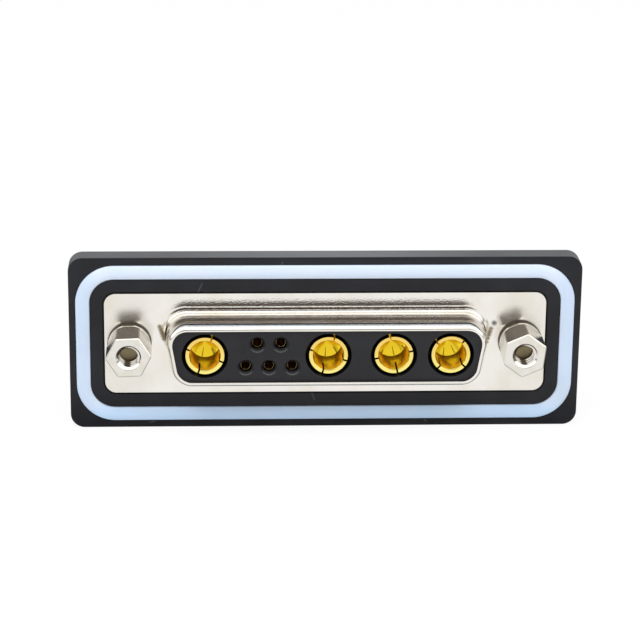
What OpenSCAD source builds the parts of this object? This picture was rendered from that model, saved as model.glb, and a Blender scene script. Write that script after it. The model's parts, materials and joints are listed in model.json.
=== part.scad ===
// Sealed D-sub panel socket with four power sockets and five signal sockets.
// The mating side faces -Y, the wide side of the D is up (+Z), and the origin is
// the centre of the face that seats against the panel.

/* [Contact layout] */
// Distance between signal contacts in a row
signal_pitch = 2.77; // [2.7:0.01:3]
// Distance between the two signal rows
signal_row_pitch = 2.84; // [2.7:0.02:2.96]
// From the first power contact to the nearest signal contact of the lower row, along the width
signal_space_left = 4.82; // [4.2:0.01:5.5]
// From the last signal contact of the lower row to the second power contact, along the width
signal_space_right = 4.28; // [4:0.01:5.5]
// From the second power contact to the third
power_pitch_inner = 7.78; // [6.2:0.01:9]
// From the third power contact to the fourth
power_pitch_outer = 6.78; // [6.2:0.01:9]
// From an end contact's axis to the side of the D at half its height, before the layout's shift
contact_to_d = 4.3; // [3.9:0.005:6]
// Shift of the whole layout from the middle of the D, to the right from the mating side
layout_shift = 0.1; // [-0.2:0.05:0.2]

/* [Shells] */
// Thickness of the shell sheet
sheet_t = 0.4; // [0.3:0.05:0.5]
// Height of the D in front of the panel face
shell_h = 5.2; // [4.6:0.1:6.2]
// Height of the front D across its long sides
d_h = 7.9; // [7.2:0.05:9]
// Slope of the D's short sides
d_slope = 10; // [8:0.5:12]
// Outer corner radius of the front D
d_r = 2.6; // [2.2:0.1:2.9]
// Width of the in-turned lip at the front of the D
lip_w = 0.77; // [0.6:0.01:0.9]
// Inner radius of the bend between the D's wall and its lip
lip_bend = 0.1; // [0.08:0.01:0.15]
// Radius of the bend between the front flange and the D
root_bend = 0.6; // [0.3:0.05:0.8]
// Radius of the bend between the rear flange and the collar
collar_bend = 0.35; // [0.2:0.05:0.45]
// How far the rear collar's short sides lie outside the front D's
collar_step_w = 0.7; // [0.5:0.05:1]
// How far the rear collar's long sides lie outside the front D's
collar_step_h = 1.4; // [1.1:0.05:1.8]
// Outer corner radius of the rear collar
collar_r = 3.2; // [2.6:0.1:3.6]
// Depth of the rear collar behind the panel face
collar_depth = 7; // [6.8:0.1:9]
// Gap between the rear collar's bend and the frame
collar_gap = 0.05; // [0.03:0.01:0.1]
// Width of flange beyond the rear collar's long sides
flange_seat = 0.925; // [0.8:0.005:2]
// From the side of the D at half its height to a post's axis
d_to_post = 4.62; // [4.3:0.01:6]
// From a post's axis to the end of the flanges
post_to_end = 3; // [2.8:0.05:4]
// Radius of the flange corners
flange_r = 1.4; // [0.8:0.1:2]
// Gap around the flanges in the frame's recess
flange_gap = 0.15; // [0.05:0.05:0.3]

/* [Seal] */
// Width of frame between the flange and the seal groove at the short sides
seal_land_w = 1.705; // [1:0.005:3]
// Width of frame between the flange and the seal groove at the long sides
seal_land_h = 1.8; // [1:0.05:3]
// Radius of the seal's outer corners
seal_r = 4.65; // [3.5:0.05:6]
// Width of the seal groove
seal_groove_w = 1.7; // [1.4:0.05:2]
// Depth of the seal groove
seal_groove_depth = 1.3; // [1:0.1:1.6]
// How far the seal's crown stands in front of the panel face
seal_proud = 0.3; // [0.15:0.05:0.6]
// Height of the seal's crown above its straight sides
seal_crown = 0.5; // [0.3:0.05:0.6]
// Gap on each side of the seal in its groove
seal_side_gap = 0.04; // [0.02:0.01:0.1]

/* [Sealing frame] */
// Width of frame outside the seal groove at the short sides
frame_edge_w = 0.8; // [0.5:0.005:3]
// Width of frame outside the seal groove at the long sides
frame_edge_h = 0.95; // [0.5:0.05:3]
// Thickness of the frame plate
frame_t = 2.9; // [2.4:0.1:4]
// Radius of the frame's outer corners
frame_r = 1.9; // [1:0.1:3]
// Size of the small bevel on the frame's front and rear edges
frame_bevel = 0.15; // [0.05:0.05:0.3]

/* [Insulators] */
// Gap between an insulator and the shell around it
insulator_gap = 0.05; // [0.02:0.01:0.1]
// Gap between the front insulator's face and the back of the lip
face_gap = 0.02; // [0.01:0.01:0.1]
// Thickness of the front insulator's shoulder behind the flange
shoulder_t = 1.6; // [1.2:0.1:2.2]
// Thickness of the rear insulator
rear_insulator_t = 3.4; // [3:0.1:4]
// How far the sealing compound lies inside the end of the rear collar
potting_recess = 0.4; // [0.2:0.1:0.6]
// Gap between the sealing compound and what it surrounds
potting_gap = 0.02; // [0.01:0.01:0.05]

/* [Power contacts] */
// Diameter of the open front cavity around a power contact
power_cavity_d = 5.35; // [5.2:0.05:5.6]
// Length of the guide at the back of that cavity
power_guide_len = 2.2; // [1.5:0.1:3]
// Outer diameter of a power contact's barrel
power_d = 4.64; // [4.5:0.02:4.8]
// Diameter of a power contact's bore
power_bore_d = 3.65; // [3.5:0.05:3.8]
// Depth of the bore's straight wall
power_bore_depth = 4.8; // [4.2:0.1:5.4]
// How far a power contact's mouth lies behind the insulator's face
power_recess = 0.2; // [0.1:0.05:0.5]
// Bevel at the mouth of the bore
power_mouth_bevel = 0.12; // [0.05:0.01:0.2]
// Full angle of the drill point at the end of a bore
drill_angle = 118; // [100:1:135]
// Width of the slits between the tines
power_slit_w = 0.28; // [0.2:0.02:0.4]
// Length of the slits between the tines
power_slit_len = 2.6; // [2:0.1:3.6]
// Diameter of the contact's collar
power_collar_d = 5.3; // [5.2:0.05:5.36]
// Thickness of the contact's collar
power_collar_t = 0.8; // [0.5:0.1:1]
// Diameter of the neck that carries the retention clip
power_neck_d = 4.3; // [4.1:0.1:4.4]
// Outer diameter of the solder cup
power_cup_d = 4.6; // [4.5:0.1:4.8]
// Diameter of the solder cup's bore
power_cup_bore_d = 3.5; // [3.2:0.1:3.7]
// Depth of the solder cup's bore
power_cup_depth = 6; // [5:0.1:6.4]
// Length of the solder cup's cut-away side
power_scoop_len = 2.6; // [2:0.1:3]
// Height above the axis at which the cup is cut away
power_scoop_rise = 0.45; // [0.3:0.05:0.8]
// Distance from the panel face to the end of the power cups
power_tail = 13.6; // [12.8:0.1:15]
// Clearance around a contact in its guide
contact_gap = 0.05; // [0.02:0.01:0.1]

/* [Retention clips] */
// Diameter of the chamber in which a clip opens
clip_chamber_d = 5.9; // [5.7:0.05:6]
// Length of that chamber
clip_chamber_len = 1.9; // [1.7:0.1:2.2]
// Thickness of the clip's sheet
clip_t = 0.2; // [0.15:0.05:0.25]
// Clearance around a clip
clip_gap = 0.04; // [0.02:0.01:0.08]
// Number of tines on a clip
clip_tines = 6; // [4:1:8]
// Width of the slots between a clip's tines
clip_slot_w = 0.5; // [0.3:0.1:0.8]

/* [Signal contacts] */
// Diameter of the entry hole in the insulator
signal_entry_d = 1.4; // [1.36:0.01:1.5]
// Length of the entry hole
signal_entry_len = 0.9; // [0.6:0.1:1.4]
// Diameter of the funnel at the entry hole
signal_funnel_d = 1.75; // [1.7:0.05:1.9]
// Outer diameter of a signal contact
signal_d = 1.75; // [1.6:0.05:1.8]
// Diameter of a signal contact's bore
signal_bore_d = 1.06; // [1.02:0.01:1.08]
// Depth of a signal contact's bore
signal_bore_depth = 5; // [4:0.1:5.5]
// Width of a signal contact's two slits
signal_slit_w = 0.2; // [0.15:0.01:0.25]
// Length of a signal contact's slits
signal_slit_len = 3; // [2:0.1:4]
// Diameter of a signal contact's collar
signal_collar_d = 2.25; // [2.1:0.05:2.4]
// Thickness of a signal contact's collar
signal_collar_t = 0.7; // [0.5:0.1:1]
// Outer diameter of a signal solder cup
signal_cup_d = 1.7; // [1.5:0.05:1.75]
// Diameter of a signal cup's bore
signal_cup_bore_d = 1.2; // [1.1:0.05:1.3]
// Depth of a signal cup's bore
signal_cup_depth = 3; // [2.5:0.1:3.4]
// Length of a signal cup's cut-away side
signal_scoop_len = 1.3; // [1:0.1:1.5]
// Height above the axis at which a signal cup is cut away
signal_scoop_rise = 0.15; // [0.1:0.05:0.3]
// Distance from the panel face to the end of the signal cups
signal_tail = 10.2; // [9.6:0.1:11]

/* [Jack posts] */
// Width across the flats of a post's hexagon
post_flats = 4.76; // [4.6:0.02:5]
// Length of a post in front of the panel face
post_h = 5.2; // [4.6:0.1:6]
// Turn of the left post's hexagon
post_turn_left = 2.5; // [0:0.5:30]
// Turn of the right post's hexagon
post_turn_right = 23.5; // [0:0.5:30]
// Height of the bevel at both ends of the hexagon
post_bevel = 0.25; // [0.1:0.05:0.4]
// Diameter of the threaded front hole
post_hole_d = 2.26; // [2.16:0.02:2.38]
// Depth of the threaded front hole
post_hole_depth = 4.1; // [3:0.1:4.2]
// Diameter of the countersink at the front hole
post_sink_d = 3; // [2.7:0.1:3.2]
// Diameter of the rear stud
stud_d = 2.8; // [2.7:0.02:2.84]
// Length of stud that shows behind the nut
stud_end = 1.1; // [0.5:0.1:2]
// Clearance around the stud in the shells, the frame, the washer and the nut
stud_gap = 0.12; // [0.05:0.01:0.15]
// Outer diameter of the lock washer
washer_d = 5.3; // [5:0.1:5.6]
// Thickness of the lock washer
washer_t = 0.6; // [0.4:0.05:0.7]
// Width of the split in the lock washer
washer_split = 0.35; // [0.2:0.05:0.6]
// Width across the flats of the nut
nut_flats = 6.35; // [6:0.05:6.4]
// Thickness of the nut
nut_t = 2.4; // [1.8:0.1:2.6]

/* [Hidden] */
$fn = 96;
EPS = 0.01;
// Steps in a rounded corner and in a bend of the shell sheet
corner_steps = 10;
bend_steps = 6;

// Places of the contacts: one power contact, the signal group, then three power contacts
signal_span = 2 * signal_pitch;
layout_span = signal_space_left + signal_span + signal_space_right + power_pitch_inner + power_pitch_outer;
first_power_x = layout_shift - layout_span / 2;
signal_left_x = first_power_x + signal_space_left;
second_power_x = signal_left_x + signal_span + signal_space_right;
power_x = [first_power_x, second_power_x, second_power_x + power_pitch_inner, first_power_x + layout_span];
// The signal group's upper row has two contacts, its lower row three
signal_at = concat(
    [for (k = [0.5, 1.5]) [signal_left_x + k * signal_pitch, signal_row_pitch / 2]],
    [for (k = [0, 1, 2]) [signal_left_x + k * signal_pitch, -signal_row_pitch / 2]]
);
// Turn of each power contact's slits
power_turn = [69, 72, 12, 48];
// Turn of every signal contact's slits
signal_turn = 45;
// Slits in a power contact and in a signal contact
power_slits = 4;
signal_slits = 2;

// Sizes that follow from the layout outwards, widths first: D, collar, posts, flanges, seal and frame
d_mid_w = layout_span + 2 * contact_to_d;
collar_mid_w = d_mid_w + 2 * collar_step_w;
collar_h = d_h + 2 * collar_step_h;
post_spacing = d_mid_w + 2 * d_to_post;
flange_w = post_spacing + 2 * post_to_end;
flange_h = collar_h + 2 * flange_seat;
seal_outer_w = flange_w + 2 * (seal_land_w + seal_groove_w);
seal_outer_h = flange_h + 2 * (seal_land_h + seal_groove_w);
frame_w = seal_outer_w + 2 * frame_edge_w;
frame_h = seal_outer_h + 2 * frame_edge_h;

// Heights along the mating axis, positive towards the mating side
flange_back = -sheet_t;
flanges_back = -2 * sheet_t;
face_z = shell_h - sheet_t - face_gap;
shoulder_back = flange_back - shoulder_t;
rear_insulator_back = shoulder_back - rear_insulator_t;
potting_back = potting_recess - collar_depth;
power_front = face_z - power_recess;
power_collar_back = shoulder_back - power_collar_t;
clip_back = shoulder_back - clip_chamber_len;
signal_front = face_z - signal_entry_len - contact_gap;
signal_collar_back = shoulder_back - signal_collar_t;
nut_back = -frame_t - nut_t;
stud_back = nut_back - stud_end;

// Diameters with their clearances
power_guide_d = power_d + 2 * contact_gap;
power_entry_d = power_collar_d + 2 * contact_gap;
signal_cavity_d = signal_d + 2 * contact_gap;
signal_collar_seat_d = signal_collar_d + 2 * contact_gap;
stud_hole_d = stud_d + 2 * stud_gap;
signal_funnel_depth = (signal_funnel_d - signal_entry_d) / 2;
post_sink_depth = (post_sink_d - post_hole_d) / 2;

// Radius of the arc that crowns the seal
seal_half_w = seal_groove_w / 2 - seal_side_gap;
seal_crown_r = (seal_half_w * seal_half_w + seal_crown * seal_crown) / (2 * seal_crown);

// A length kept to whole micrometres, so that neighbouring stretches of an outline meet exactly
function micron(v) = round(v * 1000) / 1000;

// Corner centres of an upright rectangle whose corners have radius r, anticlockwise
function rectangle_centres(w, h, r) =
    let (x = micron(w / 2 - r), y = micron(h / 2 - r)) [[-x, -y], [x, -y], [x, y], [-x, y]];

// Corner centres of a D whose sides slope, wide side up, anticlockwise
function d_centres(mid_w, h, r) =
    let (y = micron(h / 2 - r),
         inset = mid_w / 2 - r / cos(d_slope),
         low = micron(inset - y * tan(d_slope)),
         high = micron(inset + y * tan(d_slope)))
    [[-low, -y], [low, -y], [high, y], [-high, y]];

frame_corners = rectangle_centres(frame_w, frame_h, frame_r);
seal_corners = rectangle_centres(seal_outer_w, seal_outer_h, seal_r);
flange_corners = rectangle_centres(flange_w, flange_h, flange_r);
front_d = d_centres(d_mid_w, d_h, d_r);
rear_d = d_centres(collar_mid_w, collar_h, collar_r);

// Turns a shape drawn with its axis along +Z so that its front faces the mating side
module facing() {
    rotate([90, 0, 0]) children();
}

// Direction of the side that leaves corner i
function side_angle(c, i) =
    let (d = c[(i + 1) % len(c)] - c[i]) atan2(d[1], d[0]);

// Flat outline at distance r around the corner centres c
module outline(c, r) {
    n = len(c);
    polygon([for (i = [0:n - 1]) each
        let (before = side_angle(c, (i + n - 1) % n) - 90, after = side_angle(c, i) - 90)
        [c[i] + r * [cos(before), sin(before)], c[i] + r * [cos(after), sin(after)]]]);
    for (p = c) translate(p) circle(r);
}

// Plate of that outline between two heights
module plate(c, r, low, high) {
    translate([0, 0, low]) linear_extrude(high - low) outline(c, r);
}

// Sweeps a profile round the corner centres c: its x runs outwards from a centre, its y is height
module sweep_round(c) {
    n = len(c);
    for (i = [0:n - 1]) {
        next = c[(i + 1) % n];
        angle = side_angle(c, i);
        before = side_angle(c, (i + n - 1) % n);
        turn = (angle - before + 360) % 360;
        translate([next[0], next[1], 0]) rotate([0, 0, angle]) rotate([90, 0, -90])
            linear_extrude(norm(next - c[i])) children();
        translate([c[i][0], c[i][1], 0]) rotate([0, 0, before - 90])
            rotate_extrude(angle = turn) children();
    }
}

// Ring of points at distance r round the corner centres c, at height z
function ring_points(c, r, z) =
    let (n = len(c))
    [for (i = [0:n - 1]) each
        let (before = side_angle(c, (i + n - 1) % n) - 90, turn = (side_angle(c, i) - 90 - before + 360) % 360)
        [for (k = [0:corner_steps])
            let (a = before + turn * k / corner_steps)
            [c[i][0] + r * cos(a), c[i][1] + r * sin(a), z]]];

// Rings of a bend in the sheet round the corner centres c, about a point [distance, height] of the section
function bend_rings(c, at, r, from, to) =
    [for (k = [0:bend_steps])
        let (a = from + (to - from) * k / bend_steps)
        ring_points(c, at[0] + r * cos(a), at[1] + r * sin(a))];

// Closed sheet through rings of equally many points, the last ring joined to the first
module sheet_loft(rings) {
    m = len(rings);
    n = len(rings[0]);
    polyhedron(
        points = [for (ring = rings) each ring],
        faces = [for (j = [0:m - 1], i = [0:n - 1])
            let (above = (j + 1) % m, next = (i + 1) % n)
            [j * n + i, above * n + i, above * n + next, j * n + next]]
    );
}

// Cylinder between two heights
module post(d, low, high) {
    translate([0, 0, low]) cylinder(d = d, h = high - low);
}

// Drilled hole from a mouth at height 0 down to a drill point
module drilled(d, depth) {
    tip = d / 2 / tan(drill_angle / 2);
    rotate_extrude() polygon([[0, EPS], [d / 2, EPS], [d / 2, -depth], [0, -depth - tip]]);
}

// Cone that bevels the mouth of a hole of diameter d at height 0
module mouth_bevel(d, size) {
    rotate_extrude() polygon([[0, EPS], [d / 2 + size + EPS, EPS], [d / 2, -size], [0, -size]]);
}

// Hexagon of a width across flats, with flats up and down
module hexagon(flats, low, high) {
    translate([0, 0, low]) cylinder(d = flats / cos(30), h = high - low, $fn = 6);
}

// Round envelope that bevels the corners of a hexagon at both ends
module hexagon_envelope(flats, low, high, bevel) {
    r = flats / 2 / cos(30);
    inset = bevel / tan(30);
    rotate_extrude() polygon([
        [0, low], [r - inset, low], [r, low + bevel], [r, high - bevel], [r - inset, high], [0, high]
    ]);
}

// Radial slits of a socket whose mouth is at height 0
module slits(count, width, length, reach) {
    for (i = [0:count - 1]) rotate([0, 0, i * 360 / count])
        translate([0, -width / 2, -length]) cube([reach, width, length + EPS]);
}

// Solder cup cut at the end of a contact: a bore up from the end, and an open upper side
module cup_cut(end, bore_d, depth, outer_d, scoop_len, scoop_rise) {
    translate([0, 0, end]) mirror([0, 0, 1]) drilled(bore_d, depth);
    scoop_r = outer_d / 2;
    translate([-outer_d, scoop_rise, end - EPS]) cube([2 * outer_d, outer_d, scoop_len - scoop_r + EPS]);
    translate([-outer_d, scoop_rise + scoop_r, end + scoop_len - scoop_r]) rotate([0, 90, 0])
        cylinder(r = scoop_r, h = 2 * outer_d);
}

module sealing_frame() {
    color([0.2, 0.2, 0.21]) facing() difference() {
        plate(frame_corners, frame_r, -frame_t, 0);
        // Recess for the two flanges
        plate(flange_corners, flange_r + flange_gap, flanges_back, EPS);
        // Way through for the rear collar and its bend
        plate(rear_d, collar_r + collar_bend + collar_gap, -frame_t - EPS, 0);
        // Groove for the seal
        sweep_round(seal_corners) translate([seal_r - seal_groove_w, -seal_groove_depth])
            square([seal_groove_w, seal_groove_depth + EPS]);
        stud_holes(-frame_t, 0);
        // Bevels on the outer edges
        sweep_round(frame_corners) for (edge = [0, -frame_t])
            translate([frame_r, edge]) polygon(
                [[frame_bevel, 0], [0, frame_bevel], [-frame_bevel, 0], [0, -frame_bevel]]);
    }
}

module seal_ring() {
    color([0.8, 0.89, 0.97]) facing() sweep_round(seal_corners) intersection() {
        translate([seal_r - seal_groove_w / 2, seal_proud - seal_crown_r]) circle(seal_crown_r);
        translate([seal_r - seal_groove_w / 2 - seal_half_w, -seal_groove_depth])
            square([2 * seal_half_w, seal_groove_depth + seal_proud + EPS]);
    }
}

// Holes for the two studs between two heights
module stud_holes(low, high) {
    for (side = [-1, 1]) translate([side * post_spacing / 2, 0, 0]) post(stud_hole_d, low - EPS, high + EPS);
}

// One drawn sheet: the lip, the bend behind it, the wall, the bend at its foot and the flange, out and back
module front_shell() {
    lip_at = [d_r - sheet_t - lip_bend, shell_h - sheet_t - lip_bend];
    root_at = [d_r + root_bend, root_bend];
    color([0.9, 0.89, 0.85]) facing() difference() {
        sheet_loft(concat(
            [ring_points(front_d, d_r - lip_w, shell_h - sheet_t), ring_points(front_d, d_r - lip_w, shell_h)],
            bend_rings(front_d, lip_at, lip_bend + sheet_t, 90, 0),
            bend_rings(front_d, root_at, root_bend, 180, 270),
            [ring_points(flange_corners, flange_r, 0), ring_points(flange_corners, flange_r, flange_back)],
            bend_rings(front_d, root_at, root_bend + sheet_t, 270, 180),
            bend_rings(front_d, lip_at, lip_bend, 0, 90)
        ));
        stud_holes(flange_back, 0);
    }
}

// One drawn sheet: the flange, the bend at the collar's foot and the collar's wall, out and back
module rear_shell() {
    root_at = [collar_r + collar_bend, flanges_back - collar_bend];
    color([0.86, 0.85, 0.81]) facing() difference() {
        sheet_loft(concat(
            [ring_points(rear_d, collar_r - sheet_t, -collar_depth)],
            bend_rings(rear_d, root_at, collar_bend + sheet_t, 180, 90),
            [ring_points(flange_corners, flange_r, flange_back), ring_points(flange_corners, flange_r, flanges_back)],
            bend_rings(rear_d, root_at, collar_bend, 90, 180),
            [ring_points(rear_d, collar_r, -collar_depth)]
        ));
        stud_holes(flanges_back, flange_back);
    }
}

// Holes for the contacts through the front insulator and its shoulder
module contact_holes() {
    for (x = power_x) translate([x, 0, 0]) {
        post(power_cavity_d, shoulder_back + power_guide_len, face_z + EPS);
        post(power_guide_d, shoulder_back - EPS, shoulder_back + power_guide_len);
    }
    for (p = signal_at) translate([p[0], p[1], 0]) {
        post(signal_entry_d, signal_front, face_z);
        post(signal_cavity_d, shoulder_back - EPS, signal_front + contact_gap);
        translate([0, 0, face_z]) mouth_bevel(signal_entry_d, signal_funnel_depth);
    }
}

module front_insulator() {
    color([0.21, 0.21, 0.22]) facing() difference() {
        plate(front_d, d_r - sheet_t - insulator_gap, flange_back, face_z);
        contact_holes();
    }
}

// Wider foot of the front insulator, held behind the front shell's flange
module insulator_shoulder() {
    color([0.2, 0.2, 0.21]) facing() difference() {
        plate(rear_d, collar_r - sheet_t - insulator_gap, shoulder_back, flange_back);
        contact_holes();
    }
}

module rear_insulator() {
    color([0.18, 0.18, 0.19]) facing() difference() {
        plate(rear_d, collar_r - sheet_t - insulator_gap, rear_insulator_back, shoulder_back);
        for (x = power_x) translate([x, 0, 0]) {
            post(clip_chamber_d, clip_back, shoulder_back + EPS);
            post(power_entry_d, rear_insulator_back - EPS, clip_back);
        }
        for (p = signal_at) translate([p[0], p[1], 0]) {
            post(signal_collar_seat_d, signal_collar_back - contact_gap, shoulder_back + EPS);
            post(signal_cup_d + 2 * contact_gap, rear_insulator_back - EPS, shoulder_back);
        }
    }
}

module potting() {
    color([0.12, 0.12, 0.13]) facing() difference() {
        plate(rear_d, collar_r - sheet_t - potting_gap, potting_back, rear_insulator_back);
        for (x = power_x) translate([x, 0, 0])
            post(power_cup_d + 2 * potting_gap, potting_back - EPS, rear_insulator_back + EPS);
        for (p = signal_at) translate([p[0], p[1], 0])
            post(signal_cup_d + 2 * potting_gap, potting_back - EPS, rear_insulator_back + EPS);
    }
}

module power_contact(i) {
    color([0.95, 0.76, 0.25]) facing() translate([power_x[i], 0, 0]) difference() {
        union() {
            post(power_d, shoulder_back, power_front);
            post(power_collar_d, power_collar_back, shoulder_back);
            post(power_neck_d, clip_back, power_collar_back);
            post(power_cup_d, -power_tail, clip_back);
        }
        translate([0, 0, power_front]) {
            drilled(power_bore_d, power_bore_depth);
            mouth_bevel(power_bore_d, power_mouth_bevel);
            rotate([0, 0, power_turn[i]]) slits(power_slits, power_slit_w, power_slit_len, power_d);
        }
        cup_cut(-power_tail, power_cup_bore_d, power_cup_depth, power_cup_d, power_scoop_len, power_scoop_rise);
    }
}

// Slotted spring sleeve: a band on the neck, and tines that flare out to the chamber's step
module retention_clip(i) {
    inner = power_neck_d / 2 + clip_gap;
    outer = clip_chamber_d / 2 - clip_gap;
    front = power_collar_back - clip_gap;
    back = clip_back + clip_gap;
    band = (front - back) / 3;
    color([0.85, 0.72, 0.45]) facing() translate([power_x[i], 0, 0]) difference() {
        rotate_extrude() polygon([
            [inner, front], [inner + clip_t, front], [inner + clip_t, front - band],
            [outer, back], [outer - clip_t, back], [inner, front - band]
        ]);
        for (k = [0:clip_tines - 1]) rotate([0, 0, k * 360 / clip_tines])
            translate([0, -clip_slot_w / 2, back - EPS]) cube([clip_chamber_d, clip_slot_w, 2 * band + EPS]);
        // Split that lets the band open over the neck
        rotate([0, 0, 270]) translate([0, -clip_slot_w / 2, back - EPS])
            cube([clip_chamber_d, clip_slot_w, front - back + 2 * EPS]);
    }
}

module signal_contact(i) {
    color([0.93, 0.74, 0.26]) facing() translate([signal_at[i][0], signal_at[i][1], 0]) difference() {
        union() {
            post(signal_d, shoulder_back, signal_front);
            post(signal_collar_d, signal_collar_back, shoulder_back);
            post(signal_cup_d, -signal_tail, signal_collar_back);
        }
        translate([0, 0, signal_front]) {
            drilled(signal_bore_d, signal_bore_depth);
            rotate([0, 0, signal_turn]) slits(signal_slits, signal_slit_w, signal_slit_len, signal_d);
        }
        cup_cut(-signal_tail, signal_cup_bore_d, signal_cup_depth, signal_cup_d,
                signal_scoop_len, signal_scoop_rise);
    }
}

module jack_post(side, turn) {
    color([0.85, 0.83, 0.78]) facing() translate([side * post_spacing / 2, 0, 0]) difference() {
        union() {
            intersection() {
                rotate([0, 0, turn]) hexagon(post_flats, washer_t, post_h);
                hexagon_envelope(post_flats, washer_t, post_h, post_bevel);
            }
            post(stud_d, stud_back, washer_t);
        }
        translate([0, 0, post_h]) {
            drilled(post_hole_d, post_hole_depth);
            mouth_bevel(post_hole_d, post_sink_depth);
        }
    }
}

module lock_washer(side) {
    color([0.8, 0.79, 0.76]) facing() translate([side * post_spacing / 2, 0, 0]) difference() {
        post(washer_d, 0, washer_t);
        post(stud_hole_d, -EPS, washer_t + EPS);
        translate([-washer_split / 2, -washer_d, -EPS]) cube([washer_split, washer_d, washer_t + 2 * EPS]);
    }
}

module post_nut(side) {
    color([0.82, 0.8, 0.75]) facing() translate([side * post_spacing / 2, 0, 0]) difference() {
        intersection() {
            rotate([0, 0, 30]) hexagon(nut_flats, nut_back, -frame_t);
            hexagon_envelope(nut_flats, nut_back, -frame_t, post_bevel);
        }
        post(stud_hole_d, nut_back - EPS, -frame_t + EPS);
    }
}

sealing_frame();
seal_ring();
front_shell();
rear_shell();
front_insulator();
insulator_shoulder();
rear_insulator();
potting();
for (i = [1:len(power_x)])
    power_contact(i - 1);
for (i = [1:len(power_x)])
    retention_clip(i - 1);
for (i = [1:len(signal_at)])
    signal_contact(i - 1);
jack_post(-1, post_turn_left);  // jack_post_left
jack_post(1, post_turn_right);  // jack_post_right
lock_washer(-1);  // lock_washer_left
lock_washer(1);  // lock_washer_right
post_nut(-1);  // post_nut_left
post_nut(1);  // post_nut_right
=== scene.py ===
"""Dresses a sealed D-sub panel socket: its moulded frame and seal, plated shells, sockets and posts."""

import json
import logging
import math
from dataclasses import dataclass
from enum import Enum
from typing import Callable, Sequence, Union

import bmesh
import bpy
from mathutils import Matrix, Vector

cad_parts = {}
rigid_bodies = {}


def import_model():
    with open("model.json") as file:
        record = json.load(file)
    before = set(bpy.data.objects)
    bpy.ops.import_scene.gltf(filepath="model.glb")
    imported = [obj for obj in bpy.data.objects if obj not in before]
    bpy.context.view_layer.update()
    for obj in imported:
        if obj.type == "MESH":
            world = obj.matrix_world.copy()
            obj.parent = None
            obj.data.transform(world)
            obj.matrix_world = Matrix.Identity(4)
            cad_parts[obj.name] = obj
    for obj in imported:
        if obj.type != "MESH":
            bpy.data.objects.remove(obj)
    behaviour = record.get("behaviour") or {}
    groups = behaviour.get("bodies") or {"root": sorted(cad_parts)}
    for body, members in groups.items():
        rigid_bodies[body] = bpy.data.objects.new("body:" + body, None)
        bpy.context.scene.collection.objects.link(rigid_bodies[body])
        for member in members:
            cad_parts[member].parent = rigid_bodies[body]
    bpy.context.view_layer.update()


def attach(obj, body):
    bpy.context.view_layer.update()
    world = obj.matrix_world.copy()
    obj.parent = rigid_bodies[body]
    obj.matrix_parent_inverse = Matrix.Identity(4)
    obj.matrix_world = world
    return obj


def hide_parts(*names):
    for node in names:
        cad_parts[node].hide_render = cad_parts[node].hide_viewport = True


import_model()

LOG = logging.getLogger("panel_socket")

Colour = tuple[float, float, float]
Place = tuple[float, float, float]
Point = tuple[float, float]
Station = tuple[float, float]
Scratch = tuple[Point, Point]

MILLIMETRE = 0.001
PER_METRE: Place = (1000.0, 1000.0, 1000.0)
FULL_TURN = 2 * math.pi
BODY = "root"
CORNER_STEPS = 16
BEND_STEPS = 14
THREAD_STEPS = 40
THREAD_FLANK = 30
TURN_STEPS = 72
ROD_STEPS = 48
SMALL_STEPS = 40
ENVELOPE_STEPS = 96
NORMAL_WEIGHT = 80
MERGE_REACH = 0.0005
RING_GAP = 10.0
OVERSHOOT = 0.1
SAW_ROOM = 1.0

POST_X = 23.52
STUD_HOLE = 1.52
POWER_X = (-14.5, 0.14, 7.92, 14.7)
SIGNAL_AT: tuple[Point, ...] = (
    (-8.295, 1.42), (-5.525, 1.42), (-9.68, -1.42), (-6.91, -1.42), (-4.14, -1.42))
INSULATOR_FACE = -4.78
SHOULDER_BACK = 2.0


class Slot(Enum):
    """Material slots of the record."""

    FRAME = "frame_plastic"
    SEAL = "seal_silicone"
    SHELL = "shell_nickel"
    INSULATOR = "insulator_plastic"
    POTTING = "potting_compound"
    CONTACT = "contact_gold"
    HARDWARE = "hardware_nickel"


class Side(Enum):
    """The two ends of the socket, seen from the mating side."""

    LEFT = -1
    RIGHT = 1


class Cut(Enum):
    """Ways in which one solid shapes another."""

    TAKE_AWAY = "DIFFERENCE"
    KEEP_SHARED = "INTERSECT"


class Shading(Enum):
    """Angles between faces, in degrees, up to which a kind of piece is shaded smooth."""

    HEXAGON = 18
    BLOCK = 30
    TURNED = 35
    PLATE = 40
    BENT = 50


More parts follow.
